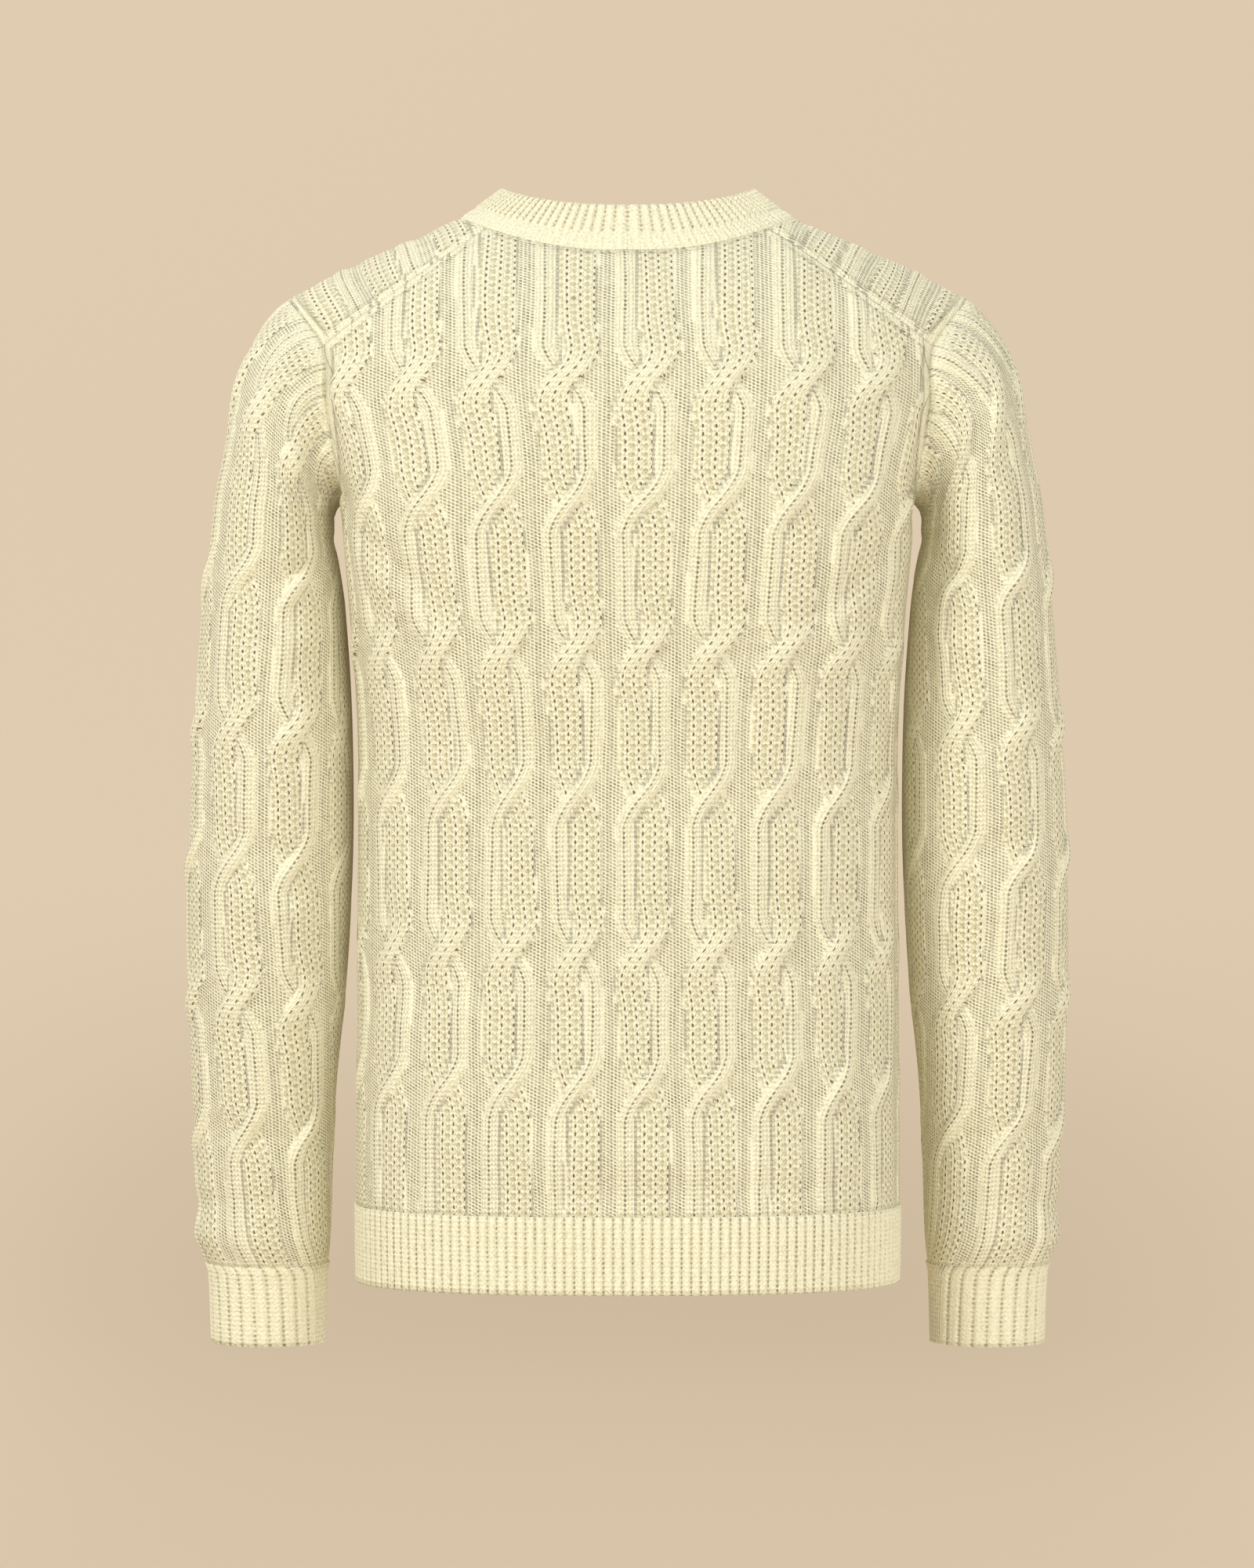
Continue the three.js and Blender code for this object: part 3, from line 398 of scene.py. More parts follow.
@dataclass
class SleeveForm:
    """Filled-out form of a sleeve, from the cuff to the armhole."""

    body: BodyForm
    pitch: float = 41.0
    blend: float = 26.0

    def armhole(self, turn: np.ndarray) -> np.ndarray:
        """Points of the armhole ring at a turn from its top: positive to the back."""
        z = ARMHOLE_MID + ARMHOLE_HALF * np.cos(turn)
        x = read(ARMHOLE, z, 1)
        return points(x, self.body.skin(x, z, np.where(np.sin(turn) >= 0, 1.0, -1.0)), z)

    def ring(self, turn: np.ndarray, v: np.ndarray) -> np.ndarray:
        """Points of the sleeve at a turn from its outer line, on the ring whose middle is at v."""
        outer, inner, tilt, half, ahead = (read(SLEEVE, v, c) for c in range(1, 6))
        c = np.cos(turn)
        x = (outer + inner) / 2 + (outer - inner) / 2 * c
        found = points(x, half * np.sin(turn) - ahead, v + tilt * c)
        near = (1.0 - np.clip((ARMHOLE_MID - v) / self.blend, 0.0, 1.0)) ** 2.4
        return mix(found, self.armhole(turn + 0.0 * v), (near + 0.0 * turn)[..., None])

    def spread(self, s: np.ndarray, girth: np.ndarray) -> np.ndarray:
        """Length round from the outer line for a share s; the underarm takes up the rest."""
        full, kept = 4.0 * self.pitch, 2.2 * self.pitch
        nominal = np.abs(s) * full
        return np.where(nominal <= kept, nominal, mix(kept, girth, (nominal - kept) / (full - kept)))

    def rows(self, s: np.ndarray, v: np.ndarray) -> tuple[np.ndarray, np.ndarray]:
        """Points of the sleeve on whole rings.

        Args:
            s: Shares round the ring, 0 at the outer line and 1 or -1 at the underarm.
            v: Levels of the rings.

        Returns:
            The grid of points and the length round from the outer line at each.
        """
        turns = np.linspace(0.0, math.pi, 181)
        line = self.ring(turns[None, :], v[:, None])
        run = np.concatenate(
            [np.zeros((len(v), 1)), np.cumsum(np.linalg.norm(np.diff(line, axis=1), axis=2), axis=1)], axis=1
        )
        along = self.spread(s[None, :], run[:, -1:])
        turn = np.array([np.interp(want, r, turns) for want, r in zip(along, run)])
        return self.ring(np.sign(s)[None, :] * turn, v[:, None]), along


@dataclass
class Stitches:
    """What the knitting does at each point of a piece.

    Height is the relief in millimetres. Across and along place the stitches, in millimetres.
    The others are how much there is, from 0 to 1, of lace, of purl, of plain strand, of a strand
    that crosses over, and of a recess, which the yarn darkens as painted shade.
    """

    height: np.ndarray
    across: np.ndarray
    along: np.ndarray
    ground: np.ndarray
    lace: np.ndarray
    purl: np.ndarray
    plain: np.ndarray
    tight: np.ndarray
    groove: np.ndarray


@dataclass(frozen=True)
class Cables:
    """Two strands, one plain and one of lace, that cross by turns up the cloth."""

    crossings: tuple[float, ...]
    pitch: float
    reach: float = 19.0
    swing: float = 0.05
    plain_half: float = 0.145
    lace_half: float = 0.262
    plain_lift: float = 1.35
    lace_lift: float = 0.85
    drift: float = 0.015

    def knit(self, u: np.ndarray, v: np.ndarray) -> Stitches:
        """Relief and stitches.

        Args:
            u: Repeats across the cloth.
            v: Level up the cloth.

        Returns:
            The stitches there.
        """
        u = u + self.drift * (np.sin(v / 37.0 + 2.1 * u) + 0.6 * np.sin(v / 15.0 + 4.7 * u))
        place = u - np.floor(u)
        right, plain_over, lace_over, sway = (np.zeros(np.broadcast(u, v).shape) for _ in range(4))
        for i, at in enumerate(self.crossings):
            away = (v - at) / self.reach
            near = 1.0 - ease(np.abs(away) / 1.2)
            share = np.clip(away / 2.0 + 0.5, 0.0, 1.0)
            passed = share - 0.42 * np.sin(2.0 * math.pi * share) / (2.0 * math.pi)
            if (len(self.crossings) - 1 - i) % 2 == 0:
                right = right - passed
                lace_over = np.maximum(lace_over, near)
                sway = sway + self.swing * away * np.exp(1.0 - away**2) * 1.2
            else:
                right = right + passed
                plain_over = np.maximum(plain_over, near)
        held = np.clip(right + len(self.crossings) % 2, 0.0, 1.0)
        plain_half = self.plain_half * (1.0 + 0.12 * plain_over)
        lace_half = self.lace_half - 0.04 * lace_over
        plain_d = (place - (0.245 + 0.51 * held)) / plain_half
        lace_d = (place - (0.63 - 0.26 * held + sway)) / lace_half
        plain_up = self.plain_lift + 2.9 * plain_over - 0.4 * lace_over
        lace_up = self.lace_lift + 3.0 * lace_over - 0.3 * plain_over
        plain = plain_up * np.clip(1.0 - plain_d**2, 0.0, 1.0) ** 0.75
        lace = lace_up * np.clip(1.0 - lace_d**4, 0.0, 1.0) ** 0.75
        is_plain = plain >= lace
        height = np.maximum(plain, lace)
        flat = height <= 0.02
        across = np.where(
            is_plain, plain_d * self.plain_half * self.pitch, lace_d * self.lace_half * self.pitch
        )
        edge = np.clip(np.abs(plain - lace) / 0.5, 0.0, 1.0)
        wale = np.clip((1.0 - np.abs(np.where(is_plain, plain_d, lace_d))) * 7.0, 0.0, 1.0) * edge
        return Stitches(
            height=height,
            across=across,
            along=v + 0.0 * across,
            ground=u * self.pitch + 0.0 * across,
            lace=np.where(~is_plain & ~flat, wale, 0.0),
            purl=np.where(flat, 1.0, 0.0),
            plain=np.where(is_plain & ~flat, wale, 0.0),
            tight=np.where(is_plain, plain_over, lace_over),
            groove=np.zeros_like(height),
        )


def creased(length: np.ndarray, level: np.ndarray, creases: tuple[Crease, ...]) -> np.ndarray:
    """Soft creases over a piece.

    Args:
        length: Distance across the piece from its middle line.
        level: Level on the piece.
        creases: The creases to lay down.

    Returns:
        Height of the creases there, in millimetres.
    """
    height = np.zeros(np.broadcast(length, level).shape)
    for at, middle, wide, tall, turn, lift in creases:
        angle = math.radians(turn)
        dx, dz = length - at, level - middle
        along = dx * math.cos(angle) + dz * math.sin(angle)
        aside = dz * math.cos(angle) - dx * math.sin(angle)
        height = height + lift * np.exp(-((along / wide) ** 2) - (aside / tall) ** 2)
    return height


def ribs(turns: np.ndarray) -> tuple[np.ndarray, np.ndarray]:
    """Two wales and a purl groove in each turn: relief from 0 to 1, and the groove, where the yarn has painted
    shade.
    """
    place = turns - np.floor(turns)
    wales = np.abs(np.sin(math.pi * np.clip((place - 0.13) / 0.74, 0.0, 1.0) * 2.0)) ** 0.6
    shelf = ease(place / 0.2) * ease((1.0 - place) / 0.2)
    return shelf * (0.72 + 0.28 * wales), 1.0 - ease(np.minimum(place, 1.0 - place) / 0.19)


def run_along(form: np.ndarray, axis: int) -> np.ndarray:
    """Length run over a grid of points along an axis, from its first row or column."""
    steps = np.linalg.norm(np.diff(form, axis=axis), axis=2)
    shape = (1, form.shape[1]) if axis == 0 else (form.shape[0], 1)
    return np.concatenate([np.zeros(shape), np.cumsum(steps, axis=axis)], axis=axis)


class Closure(Enum):
    """Whether a piece is an open panel or is closed round a ring."""

    PANEL = "panel"
    TUBE = "tube"


@dataclass
class Cloth:
    """One knitted piece, made as a grid that is moved onto its form and given a wall."""

    name: str
    form: np.ndarray
    stitches: Stitches
    closure: Closure = Closure.PANEL
    outward: float = 1.0
    wall: float = 1.7

    def facing(self) -> np.ndarray:
        """Outward direction of the form at each point."""
        across = np.gradient(self.form, axis=1)
        if self.closure is Closure.TUBE:
            wrap = self.form[:, 1] - self.form[:, -2]
            across[:, 0] = wrap
            across[:, -1] = wrap
        up = np.gradient(self.form, axis=0)
        found = np.cross(across, up) * self.outward
        return found / np.maximum(np.linalg.norm(found, axis=2, keepdims=True), 1e-9)

    def build(self) -> bpy.types.Object:
        """Make the piece's mesh with its stitch maps, and its object."""
        rows, columns = self.form.shape[:2]
        grid = bmesh.new()
        bmesh.ops.create_grid(grid, x_segments=columns - 1, y_segments=rows - 1, size=1.0)
        mesh = bpy.data.meshes.new(self.name)
        grid.to_mesh(mesh)
        grid.free()
        flat = np.empty(len(mesh.vertices) * 3)
        mesh.vertices.foreach_get("co", flat)
        flat = flat.reshape(-1, 3)
        i = np.rint((flat[:, 0] + 1.0) / 2.0 * (columns - 1)).astype(int)
        j = np.rint((flat[:, 1] + 1.0) / 2.0 * (rows - 1)).astype(int)
        placed = (self.form + self.facing() * self.stitches.height[..., None]) * MM
        mesh.vertices.foreach_set("co", placed[j, i].ravel())
        corner = np.empty(len(mesh.loops), int)
        mesh.loops.foreach_get("vertex_index", corner)
        knit = mesh.uv_layers.new(name="knit")
        place = np.stack([self.stitches.across[j, i], self.stitches.along[j, i]], axis=1)
        knit.data.foreach_set("uv", place[corner].astype(np.float32).ravel())
        for name in ("ground", "lace", "purl", "plain", "tight", "groove"):
            layer = mesh.attributes.new(name, "FLOAT", "POINT")
            layer.data.foreach_set("value", getattr(self.stitches, name)[j, i].astype(np.float32))
        if self.outward < 0:
            mesh.flip_normals()
        if self.closure is Closure.TUBE:
            self.close(mesh)
        mesh.shade_smooth()
        piece = bpy.data.objects.new(self.name, mesh)
        bpy.context.scene.collection.objects.link(piece)
        thick = piece.modifiers.new("wall", "SOLIDIFY")
        thick.thickness = self.wall * MM
        thick.offset = -1.0
        return piece

    def close(self, mesh: bpy.types.Mesh) -> None:
        """Join the grid's first and last columns."""
        tube = bmesh.new()
        tube.from_mesh(mesh)
        bmesh.ops.remove_doubles(tube, verts=tube.verts[:], dist=1e-6)
        tube.to_mesh(mesh)
        tube.free()


class Number:
    """A shader socket that takes part in Python arithmetic."""

    def __init__(self, book: "NodeBook", socket: bpy.types.NodeSocket) -> None:
        """Keep the socket and the book that adds nodes."""
        self.book = book
        self.socket = socket

    def math(self, operation: str, *others: "Number | float") -> "Number":
        """Add a Math node of this and others."""
        values = {k: v for k, v in enumerate([self, *others])}
        return self.book.node("ShaderNodeMath", {"operation": operation}, values)

    def __add__(self, other: "Number | float") -> "Number":
        """Sum."""
        return self.math("ADD", other)

    def __radd__(self, other: float) -> "Number":
        """Sum, the other way round."""
        return self.math("ADD", other)

    def __sub__(self, other: "Number | float") -> "Number":
        """Difference."""
        return self.math("SUBTRACT", other)

    def __rsub__(self, other: float) -> "Number":
        """Difference, the other way round."""
        return self.book.node("ShaderNodeMath", {"operation": "SUBTRACT"}, {0: other, 1: self})

    def __mul__(self, other: "Number | float") -> "Number":
        """Product."""
        return self.math("MULTIPLY", other)

    def __rmul__(self, other: float) -> "Number":
        """Product, the other way round."""
        return self.math("MULTIPLY", other)

    def __truediv__(self, other: "Number | float") -> "Number":
        """Quotient."""
        return self.math("DIVIDE", other)

    def fraction(self) -> "Number":
        """What is left above the whole number."""
        return self.math("FRACT")

    def sine(self) -> "Number":
        """Sine of radians."""
        return self.math("SINE")

    def size(self) -> "Number":
        """Absolute value."""
        return self.math("ABSOLUTE")

    def root(self) -> "Number":
        """Square root."""
        return self.math("SQRT")

    def between(self, low: float, high: float) -> "Number":
        """Smooth share of the way from low to high."""
        settings = {"interpolation_type": "SMOOTHSTEP"}
        return self.book.node(
            "ShaderNodeMapRange", settings, {"Value": self, "From Min": low, "From Max": high}
        )


class NodeBook:
    """Adds nodes to one material's tree."""

    def __init__(self, tree: bpy.types.NodeTree) -> None:
        """Start on a cleared tree."""
        self.tree = tree
        tree.nodes.clear()

    def node(self, kind: str, settings: dict, values: dict, output: "str | int" = 0) -> Number:
        """Add a node.

        Args:
            kind: The node's type.
            settings: Properties that are set first.
            values: Sockets by name or number, as numbers, colours or links.
            output: Which output is returned.

        Returns:
            The output, ready for arithmetic.
        """
        made = self.tree.nodes.new(kind)
        for name, value in settings.items():
            setattr(made, name, value)
        for name, value in values.items():
            if isinstance(value, Number):
                self.tree.links.new(value.socket, made.inputs[name])
            else:
                made.inputs[name].default_value = value
        return Number(self, made.outputs[output])


Colour = tuple[float, float, float, float]


@dataclass(frozen=True)
class YarnFinish:
    """Matt cream yarn: wales, purls, lace holes and hollows follow the piece's stitch maps, and shade is painted
    into its colour between the loops, in the holes and in the hollows.
    """

    name: str = "cream_yarn"
    # The yarn's cream, its painted shaded copy, and the painted shadow colour seen in holes and hollows.
    light: Colour = (0.875, 0.845, 0.625, 1.0)
    shaded: Colour = (0.60, 0.545, 0.33, 1.0)
    hollow_shade: Colour = (0.17, 0.14, 0.06, 1.0)
    wale: float = 2.25
    course: float = 2.9
    lace_across: float = 7.1
    lace_up: float = 5.0
    lace_start: float = 1.8

    def material(self) -> bpy.types.Material:
        """Build the yarn's material."""
        made = bpy.data.materials.new(self.name)
        made.use_nodes = True
        book = NodeBook(made.node_tree)
        across, along = self.places(book)
        ground, lace, purl, plain, tight, groove = (
            self.share(book, name) for name in ("ground", "lace", "purl", "plain", "tight", "groove")
        )
        fuzz = self.fuzz(book, 850.0)
        tone = self.fuzz(book, 170.0)
        loops = self.loops(across, along)
        wide = self.holes(across, along) * lace * (1.0 - tight)
        small = self.dashes(across, along) * lace
        line = self.line(across, along) * plain
        dots = self.dots(ground, along) * purl
        pits = self.pits(along) * groove
        knitted = (lace + plain) * (1.0 - tight * 0.3) + purl * 0.12
        uneven = tone * 2.4 - 0.45
        # Painted shade: the small holes, the dotted line, the pits, the purl dots and some wide holes darken towards
        # the shadow colour inside holes.
        dark = (small * 1.8 + line * 0.95 + pits * 0.7 + dots * 0.62) * uneven + wide * (uneven - 0.65) * 0.8
        # Painted shade: the lace holes, the grooves, the gaps between loop legs and the purl dots move the cream
        # towards its shaded copy; the fuzz adds uneven tone.
        shade = wide * 0.6 + groove * 0.35 + (1.0 - loops) * knitted * 0.62 + (fuzz - 0.5) * 2.1 + dots * 0.75
        body = self.blend(book, shade.between(-0.05, 1.0), self.light, self.shaded)
        colour = self.blend(book, dark.between(0.08, 1.0), body, self.hollow_shade)
        relief = loops * knitted * 0.8 + fuzz * 0.9 - wide * 0.7 - small * 0.9 - line * 0.8 - dots * 0.8 - pits * 0.8
        bump = book.node("ShaderNodeBump", {}, {"Strength": 0.9, "Distance": 0.0012, "Height": relief})
        shader = book.node(
            "ShaderNodeBsdfPrincipled",
            {},
            {
                "Base Color": colour,
                "Roughness": 0.92,
                "Normal": bump,
                # Painted light: a faint warm glow that lifts the cloth's shadows.
                "Emission Color": (0.80, 0.62, 0.30, 1.0),
                "Emission Strength": 0.05,
                "Sheen Weight": 0.2,
                "Sheen Roughness": 0.6,
                "Specular IOR Level": 0.2,
            },
        )
        end = book.tree.nodes.new("ShaderNodeOutputMaterial")
        book.tree.links.new(shader.socket, end.inputs["Surface"])
        return made

    def places(self, book: NodeBook) -> tuple[Number, Number]:
        """Stitch places across and along the cloth, in millimetres."""
        place = book.node("ShaderNodeUVMap", {"uv_map": "knit"}, {})
        parts = [book.node("ShaderNodeSeparateXYZ", {}, {"Vector": place}, k) for k in (0, 1)]
        return parts[0], parts[1]

    def share(self, book: NodeBook, name: str) -> Number:
        """One of the piece's stitch maps."""
        return book.node("ShaderNodeAttribute", {"attribute_name": name}, {}, "Fac")

    def blend(
        self, book: NodeBook, share: Number, first: "Number | Colour", second: "Number | Colour"
    ) -> Number:
        """Mix of two colours."""
        return book.node("ShaderNodeMix", {"data_type": "RGBA"}, {0: share, 6: first, 7: second}, 2)

    def fuzz(self, book: NodeBook, scale: float) -> Number:
        """Uneven loft of the yarn, from 0 to 1, at a scale."""
        place = book.node("ShaderNodeTexCoord", {}, {}, "Object")
        return book.node("ShaderNodeTexNoise", {}, {"Vector": place, "Scale": scale, "Detail": 3.0}, "Fac")

    def spot(
        self, across: Number, along: Number, wide: float, tall: float, radius: float, flat: float = 1.0
    ) -> Number:
        """Soft spots on a lattice.

        Args:
            across: Place across, in millimetres.
            along: Place along, in millimetres.
            wide: Spacing across.
            tall: Spacing along.
            radius: Half height of a spot.
            flat: How many times wider than tall a spot is.

        Returns:
            1 in a spot's middle and 0 outside it.
        """
        dx = ((across / wide).fraction() - 0.5) * (wide / flat)
        dy = ((along / tall).fraction() - 0.5) * tall
        return (dx * dx + dy * dy).root().between(radius, radius * 0.4)

    def loops(self, across: Number, along: Number) -> Number:
        """Leaning legs of the loops that make each wale."""
        side = ((across / self.wale).fraction() - 0.5).size()
        wave = ((along / self.course + side * 0.9) * (2.0 * math.pi)).sine() * 0.5 + 0.5
        return wave * 0.45 + (side * math.pi).sine() * 0.55

    def holes(self, across: Number, along: Number) -> Number:
        """Wide round holes of the lace, in upright lines."""
        start = self.lace_across / 2 + self.lace_start
        return self.spot(across + start, along, self.lace_across, self.lace_up, 2.0)

    def dashes(self, across: Number, along: Number) -> Number:
        """Small upright holes between the lines of wide ones."""
        return self.spot(
            across + self.lace_start, along + self.lace_up / 2, self.lace_across, self.lace_up, 1.5, 0.5
        )

    def line(self, across: Number, along: Number) -> Number:
        """The dotted line up the middle of the plain strand."""
        beside = (across + 0.8).size().between(0.9, 0.2)
        return beside * ((along / self.course).fraction() - 0.5).size().between(0.42, 0.12)

    def dots(self, across: Number, along: Number) -> Number:
        """Slanted hollows between purl bumps."""
        lean = (across / 4.4).fraction().between(0.49, 0.51) * 1.05 + (across / 2.2).fraction() * 0.9
        return self.spot(across, along + lean, 2.2, 2.1, 0.85, 1.3)

    def pits(self, along: Number) -> Number:
        """Hollows one over another along a groove."""
        return ((along / self.course).fraction() - 0.5).size().between(0.4, 0.1)


@dataclass
class Sweater:
    """The whole sweater: its forms, its pattern and its nine pieces."""

    body: BodyForm = field(default_factory=BodyForm)
    yarn: YarnFinish = field(default_factory=YarnFinish)
    crossings: tuple[float, ...] = (-532, -450, -356, -269, -180, -105)
    sleeve_crossings: tuple[float, ...] = (-565, -483, -397, -315, -224, -140)
    repeats: float = 5.5
    phase: float = 0.272

    def dress(self, piece: bpy.types.Object, node: str, material: bpy.types.Material,
              flat: tuple[float, float], area: float) -> bpy.types.Object:
        """Give a piece its yarn and its place on the frame, and hide the solid that it stands for.

        Args:
            piece: The finished cloth.
            node: The solid that it stands for.
            material: Its yarn.
            flat: Width and length of its cut, in metres; not used.
            area: Flat area of its cut, in square metres; not used.

        Returns:
            The same piece.
        """
        piece.data.materials.append(material)
        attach(piece, "root")
        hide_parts(node)
        LOG.info("%s: %d faces", piece.name, len(piece.data.polygons))
        return piece


@dataclass
class Panels:
    """The back and the front of the body."""

    sweater: Sweater
    per_repeat: int = 22
    low_rows: int = 158
    back_rows: int = 44
    front_rows: int = 52

    def rows(self, above: int) -> np.ndarray:
        """Heights of the rows up a panel."""
        low = np.linspace(HEM_TOP, UPPER, self.low_rows + 1)
        return np.concatenate([low, np.linspace(UPPER, UPPER + 100.0, above + 1)[1:]])

    def yoke(self, form: np.ndarray) -> tuple[np.ndarray, np.ndarray]:
        """Stitches across and courses up the front's yoke, on its way over the shoulders.

        Args:
            form: Points of the front.

        Returns:
            Length across from the middle, and level carried on over the ridge.
        """
        body = self.sweater.body
        shares = np.linspace(0.0, 1.0, 241)
        run = shares * body.girth(np.float64(UPPER), -1)
        level = np.full(shares.shape, UPPER)
        plan = body.x_along(run, level, -1)
        x = np.abs(form[..., 0])
        deep = np.interp(x, plan, np.abs(body.skin(plan, level, -1)))
        behind = form[..., 1] > 0
        drop = np.where(behind, np.maximum(body.ridge(x) - form[..., 2], 0.0), 0.0)
        reach = x + 0.4 * drop
        across = np.interp(reach, plan, run) + np.maximum(reach - plan[-1], 0.0)
        climbed = form[..., 2] + 2.0 * drop + 0.8 * (deep + form[..., 1])
        return across, climbed

    def stitches(self, s: np.ndarray, h: np.ndarray, form: np.ndarray, side: int) -> Stitches:
        """Cables over a panel, plain along its seams.

        Args:
            s: Shares across the panel.
            h: Heights of its rows.
            form: Its points.
            side: 1 for the back and -1 for the front.

        Returns:
            The panel's stitches.
        """
        sweater = self.sweater
        body = sweater.body
        level = np.minimum(form[..., 2], h)
        length = body.spread(s, np.clip(level, HEM_END, 0.0), side)
        chest = body.girth(np.minimum(level, ARMPIT), side) * body.widen(level)
        run = run_along(form, 0)
        row = run_along(form, 1)
        to_side = np.minimum(row, row[:, -1:] - row)
        climbed = form[..., 2]
        along = run
        if side < 0:
            across, over = self.yoke(form)
            length = np.where(h > UPPER, across, length)
            climbed = np.where(h > UPPER, over, climbed)
            along = np.where(h > UPPER, run[self.low_rows] + 0.6 * (over - UPPER), run)
        u = sweater.phase - np.sign(s) * side * length * sweater.repeats / chest
        found = Cables(sweater.crossings, 41.8).knit(u, climbed)
        to_top = run[-1:] - run + 4.0 * ease((body.shoulder_x - np.abs(form[-1:, :, 0])) / 12.0)
        seam = np.where(h > ARMPIT, to_side, to_side + 200.0 * ease((ARMPIT - h) / 60.0))
        near = np.minimum(seam, to_top)
        kept = ease((near - 4.0) / 4.5) * ease((h - HEM_TOP) / 6.0)
        flank = 1.0 - mix(0.75, 0.9, ease((h + 270.0) / 60.0)) * ease((np.abs(s) - 0.8) / 0.12)
        found.height = 0.2 + found.height * kept * flank + 0.45 * np.exp(-(((near - 3.6) / 2.4) ** 2))
        # A line of painted shade, with pits, along the seams above the armpits, about 7 mm in from them.
        found.groove = 0.75 * np.exp(-(((near - 6.8) / 1.5) ** 2)) * ease((h - ARMPIT) / 9.0)
        found.along = along
        smooth = ease((6.8 - near) / 2.0)
        found.lace *= 1.0 - smooth
        found.purl *= 1.0 - smooth
        found.plain = mix(found.plain, 0.7, smooth)
        creases = BACK_CREASES if side > 0 else FRONT_CREASES
        low = ease((form[..., 2] - HEM_TOP) / 8.0) * ease(near / 14.0)
        found.height += low * creased(np.sign(s) * length, form[..., 2], creases)
        return found

    def back(self, material: bpy.types.Material) -> bpy.types.Object:
        """The back, from the hem rib to the neck and the dropped shoulder seams."""
        columns = int(2 * self.sweater.repeats * self.per_repeat)
        s, h = np.meshgrid(np.linspace(-1.0, 1.0, columns + 1), self.rows(self.back_rows))
        form = self.sweater.body.back(s, h)
        cloth = Cloth("back_panel", form, self.stitches(s, h, form, 1), outward=-1.0)
        return self.sweater.dress(cloth.build(), "back", material, (0.47, 0.62), 0.262)

    def front(self, material: bpy.types.Material) -> bpy.types.Object:
        """The front, from the hem rib over the shoulders to the back's seams."""
        columns = int(2 * self.sweater.repeats * (self.per_repeat - 2))
        s, h = np.meshgrid(np.linspace(-1.0, 1.0, columns + 1), self.rows(self.front_rows))
        form = self.sweater.body.front(s, h)
        cloth = Cloth("front_panel", form, self.stitches(s, h, form, -1), outward=1.0)
        return self.sweater.dress(cloth.build(), "front", material, (0.48, 0.68), 0.289)


@dataclass
class Hems:
    """The ribbed bands below the back and the front."""

    sweater: Sweater
    pitch: float = 5.9
    lift: float = 1.25
    per_rib: int = 10
    rows: int = 12

    def band(self, name: str, node: str, side: int, material: bpy.types.Material) -> bpy.types.Object:
        """One hem rib."""
        body = self.sweater.body
        girth = 2.0 * float(body.girth(np.float64(HEM_TOP), side))
        count = round(girth / self.pitch)
        s, h = np.meshgrid(
            np.linspace(-1.0, 1.0, count * self.per_rib + 1), np.linspace(HEM_END, HEM_TOP + 0.2, self.rows + 1)
        )
        form = body.on_level(s, h, side)
        turns = (s + 1.0) / 2.0 * count
        up, groove = ribs(turns)
        zero = np.zeros_like(up)
        # The groove map paints shade into the rib grooves.
        found = Stitches(0.1 + self.lift * up, (turns + 3.0) * 4.5, h, zero, zero, zero, 0.55 - 0.55 * groove, zero, groove)
        cloth = Cloth(name, form, found, outward=-float(side))
        return self.sweater.dress(cloth.build(), node, material, (girth * MM, 0.047), girth * MM * 0.047)


@dataclass
class Sleeves:
    """The two sleeves, each one tube from cuff to armhole."""

    sweater: Sweater
    columns: int = 208
    rows: int = 224

    def sleeve(self, name: str, node: str, hand: int, material: bpy.types.Material) -> bpy.types.Object:
        """One sleeve: hand is 1 on the left and -1 on the right."""
        form = SleeveForm(self.sweater.body)
        s = np.linspace(-1.0, 1.0, self.columns + 1)
        v = np.linspace(CUFF_TOP, ARMHOLE_MID, self.rows + 1)
        grid, along = form.rows(s, v)
        cables = Cables(self.sweater.sleeve_crossings, form.pitch)
        level = v[:, None] + 0.0 * s[None, :]
        found = cables.knit(hand * np.sign(s)[None, :] * along / form.pitch, level)
        inner = 1.0 - 0.85 * ease((np.abs(s) - 0.6) / 0.25)[None, :]
        kept = ease((ARMHOLE_MID - level) / 8.0) * ease((level - CUFF_TOP) / 5.0)
        found.height = 0.2 + found.height * inner * kept
        found.along = run_along(grid, 0)
        found.lace *= kept
        found.purl *= kept
        found.plain = mix(0.6, found.plain, kept)
        found.height += kept * inner * creased(np.sign(s)[None, :] * along, level, SLEEVE_CREASES)
        grid[..., 0] *= hand
        cloth = Cloth(name, grid, found, Closure.TUBE, outward=float(hand))
        return self.sweater.dress(cloth.build(), node, material, (0.36, 0.56), 0.168)


@dataclass
class Cuffs:
    """The ribbed cuffs."""

    sweater: Sweater
    pitch: float = 5.9
    lift: float = 1.25
    per_rib: int = 10
    rows: int = 12

    def cuff(self, name: str, node: str, hand: int, material: bpy.types.Material) -> bpy.types.Object:
        """One cuff: hand is 1 on the left and -1 on the right."""
        form = SleeveForm(self.sweater.body)
        turns = np.linspace(0.0, math.pi, 181)
        line = form.ring(turns, np.full(turns.shape, CUFF_END))
        girth = 2.0 * float(np.linalg.norm(np.diff(line, axis=0), axis=1).sum())
        count = round(girth / self.pitch)
        s = np.linspace(-1.0, 1.0, count * self.per_rib + 1)
        v = np.linspace(CUFF_END, CUFF_TOP + 0.2, self.rows + 1)
        grid, _ = form.rows(s, v)
        grid[..., 0] *= hand
        turned = np.broadcast_to((s + 1.0) / 2.0 * count, grid.shape[:2])
        up, groove = ribs(turned)
        zero = np.zeros_like(up)
        level = v[:, None] + zero
        # The groove map paints shade into the rib grooves.
        found = Stitches(0.1 + self.lift * up, (turned + 3.0) * 4.5, level, zero, zero, zero, 0.55 - 0.55 * groove, zero, groove)
        cloth = Cloth(name, grid, found, Closure.TUBE, outward=float(hand))
        return self.sweater.dress(cloth.build(), node, material, (girth * MM, 0.05), girth * MM * 0.05)


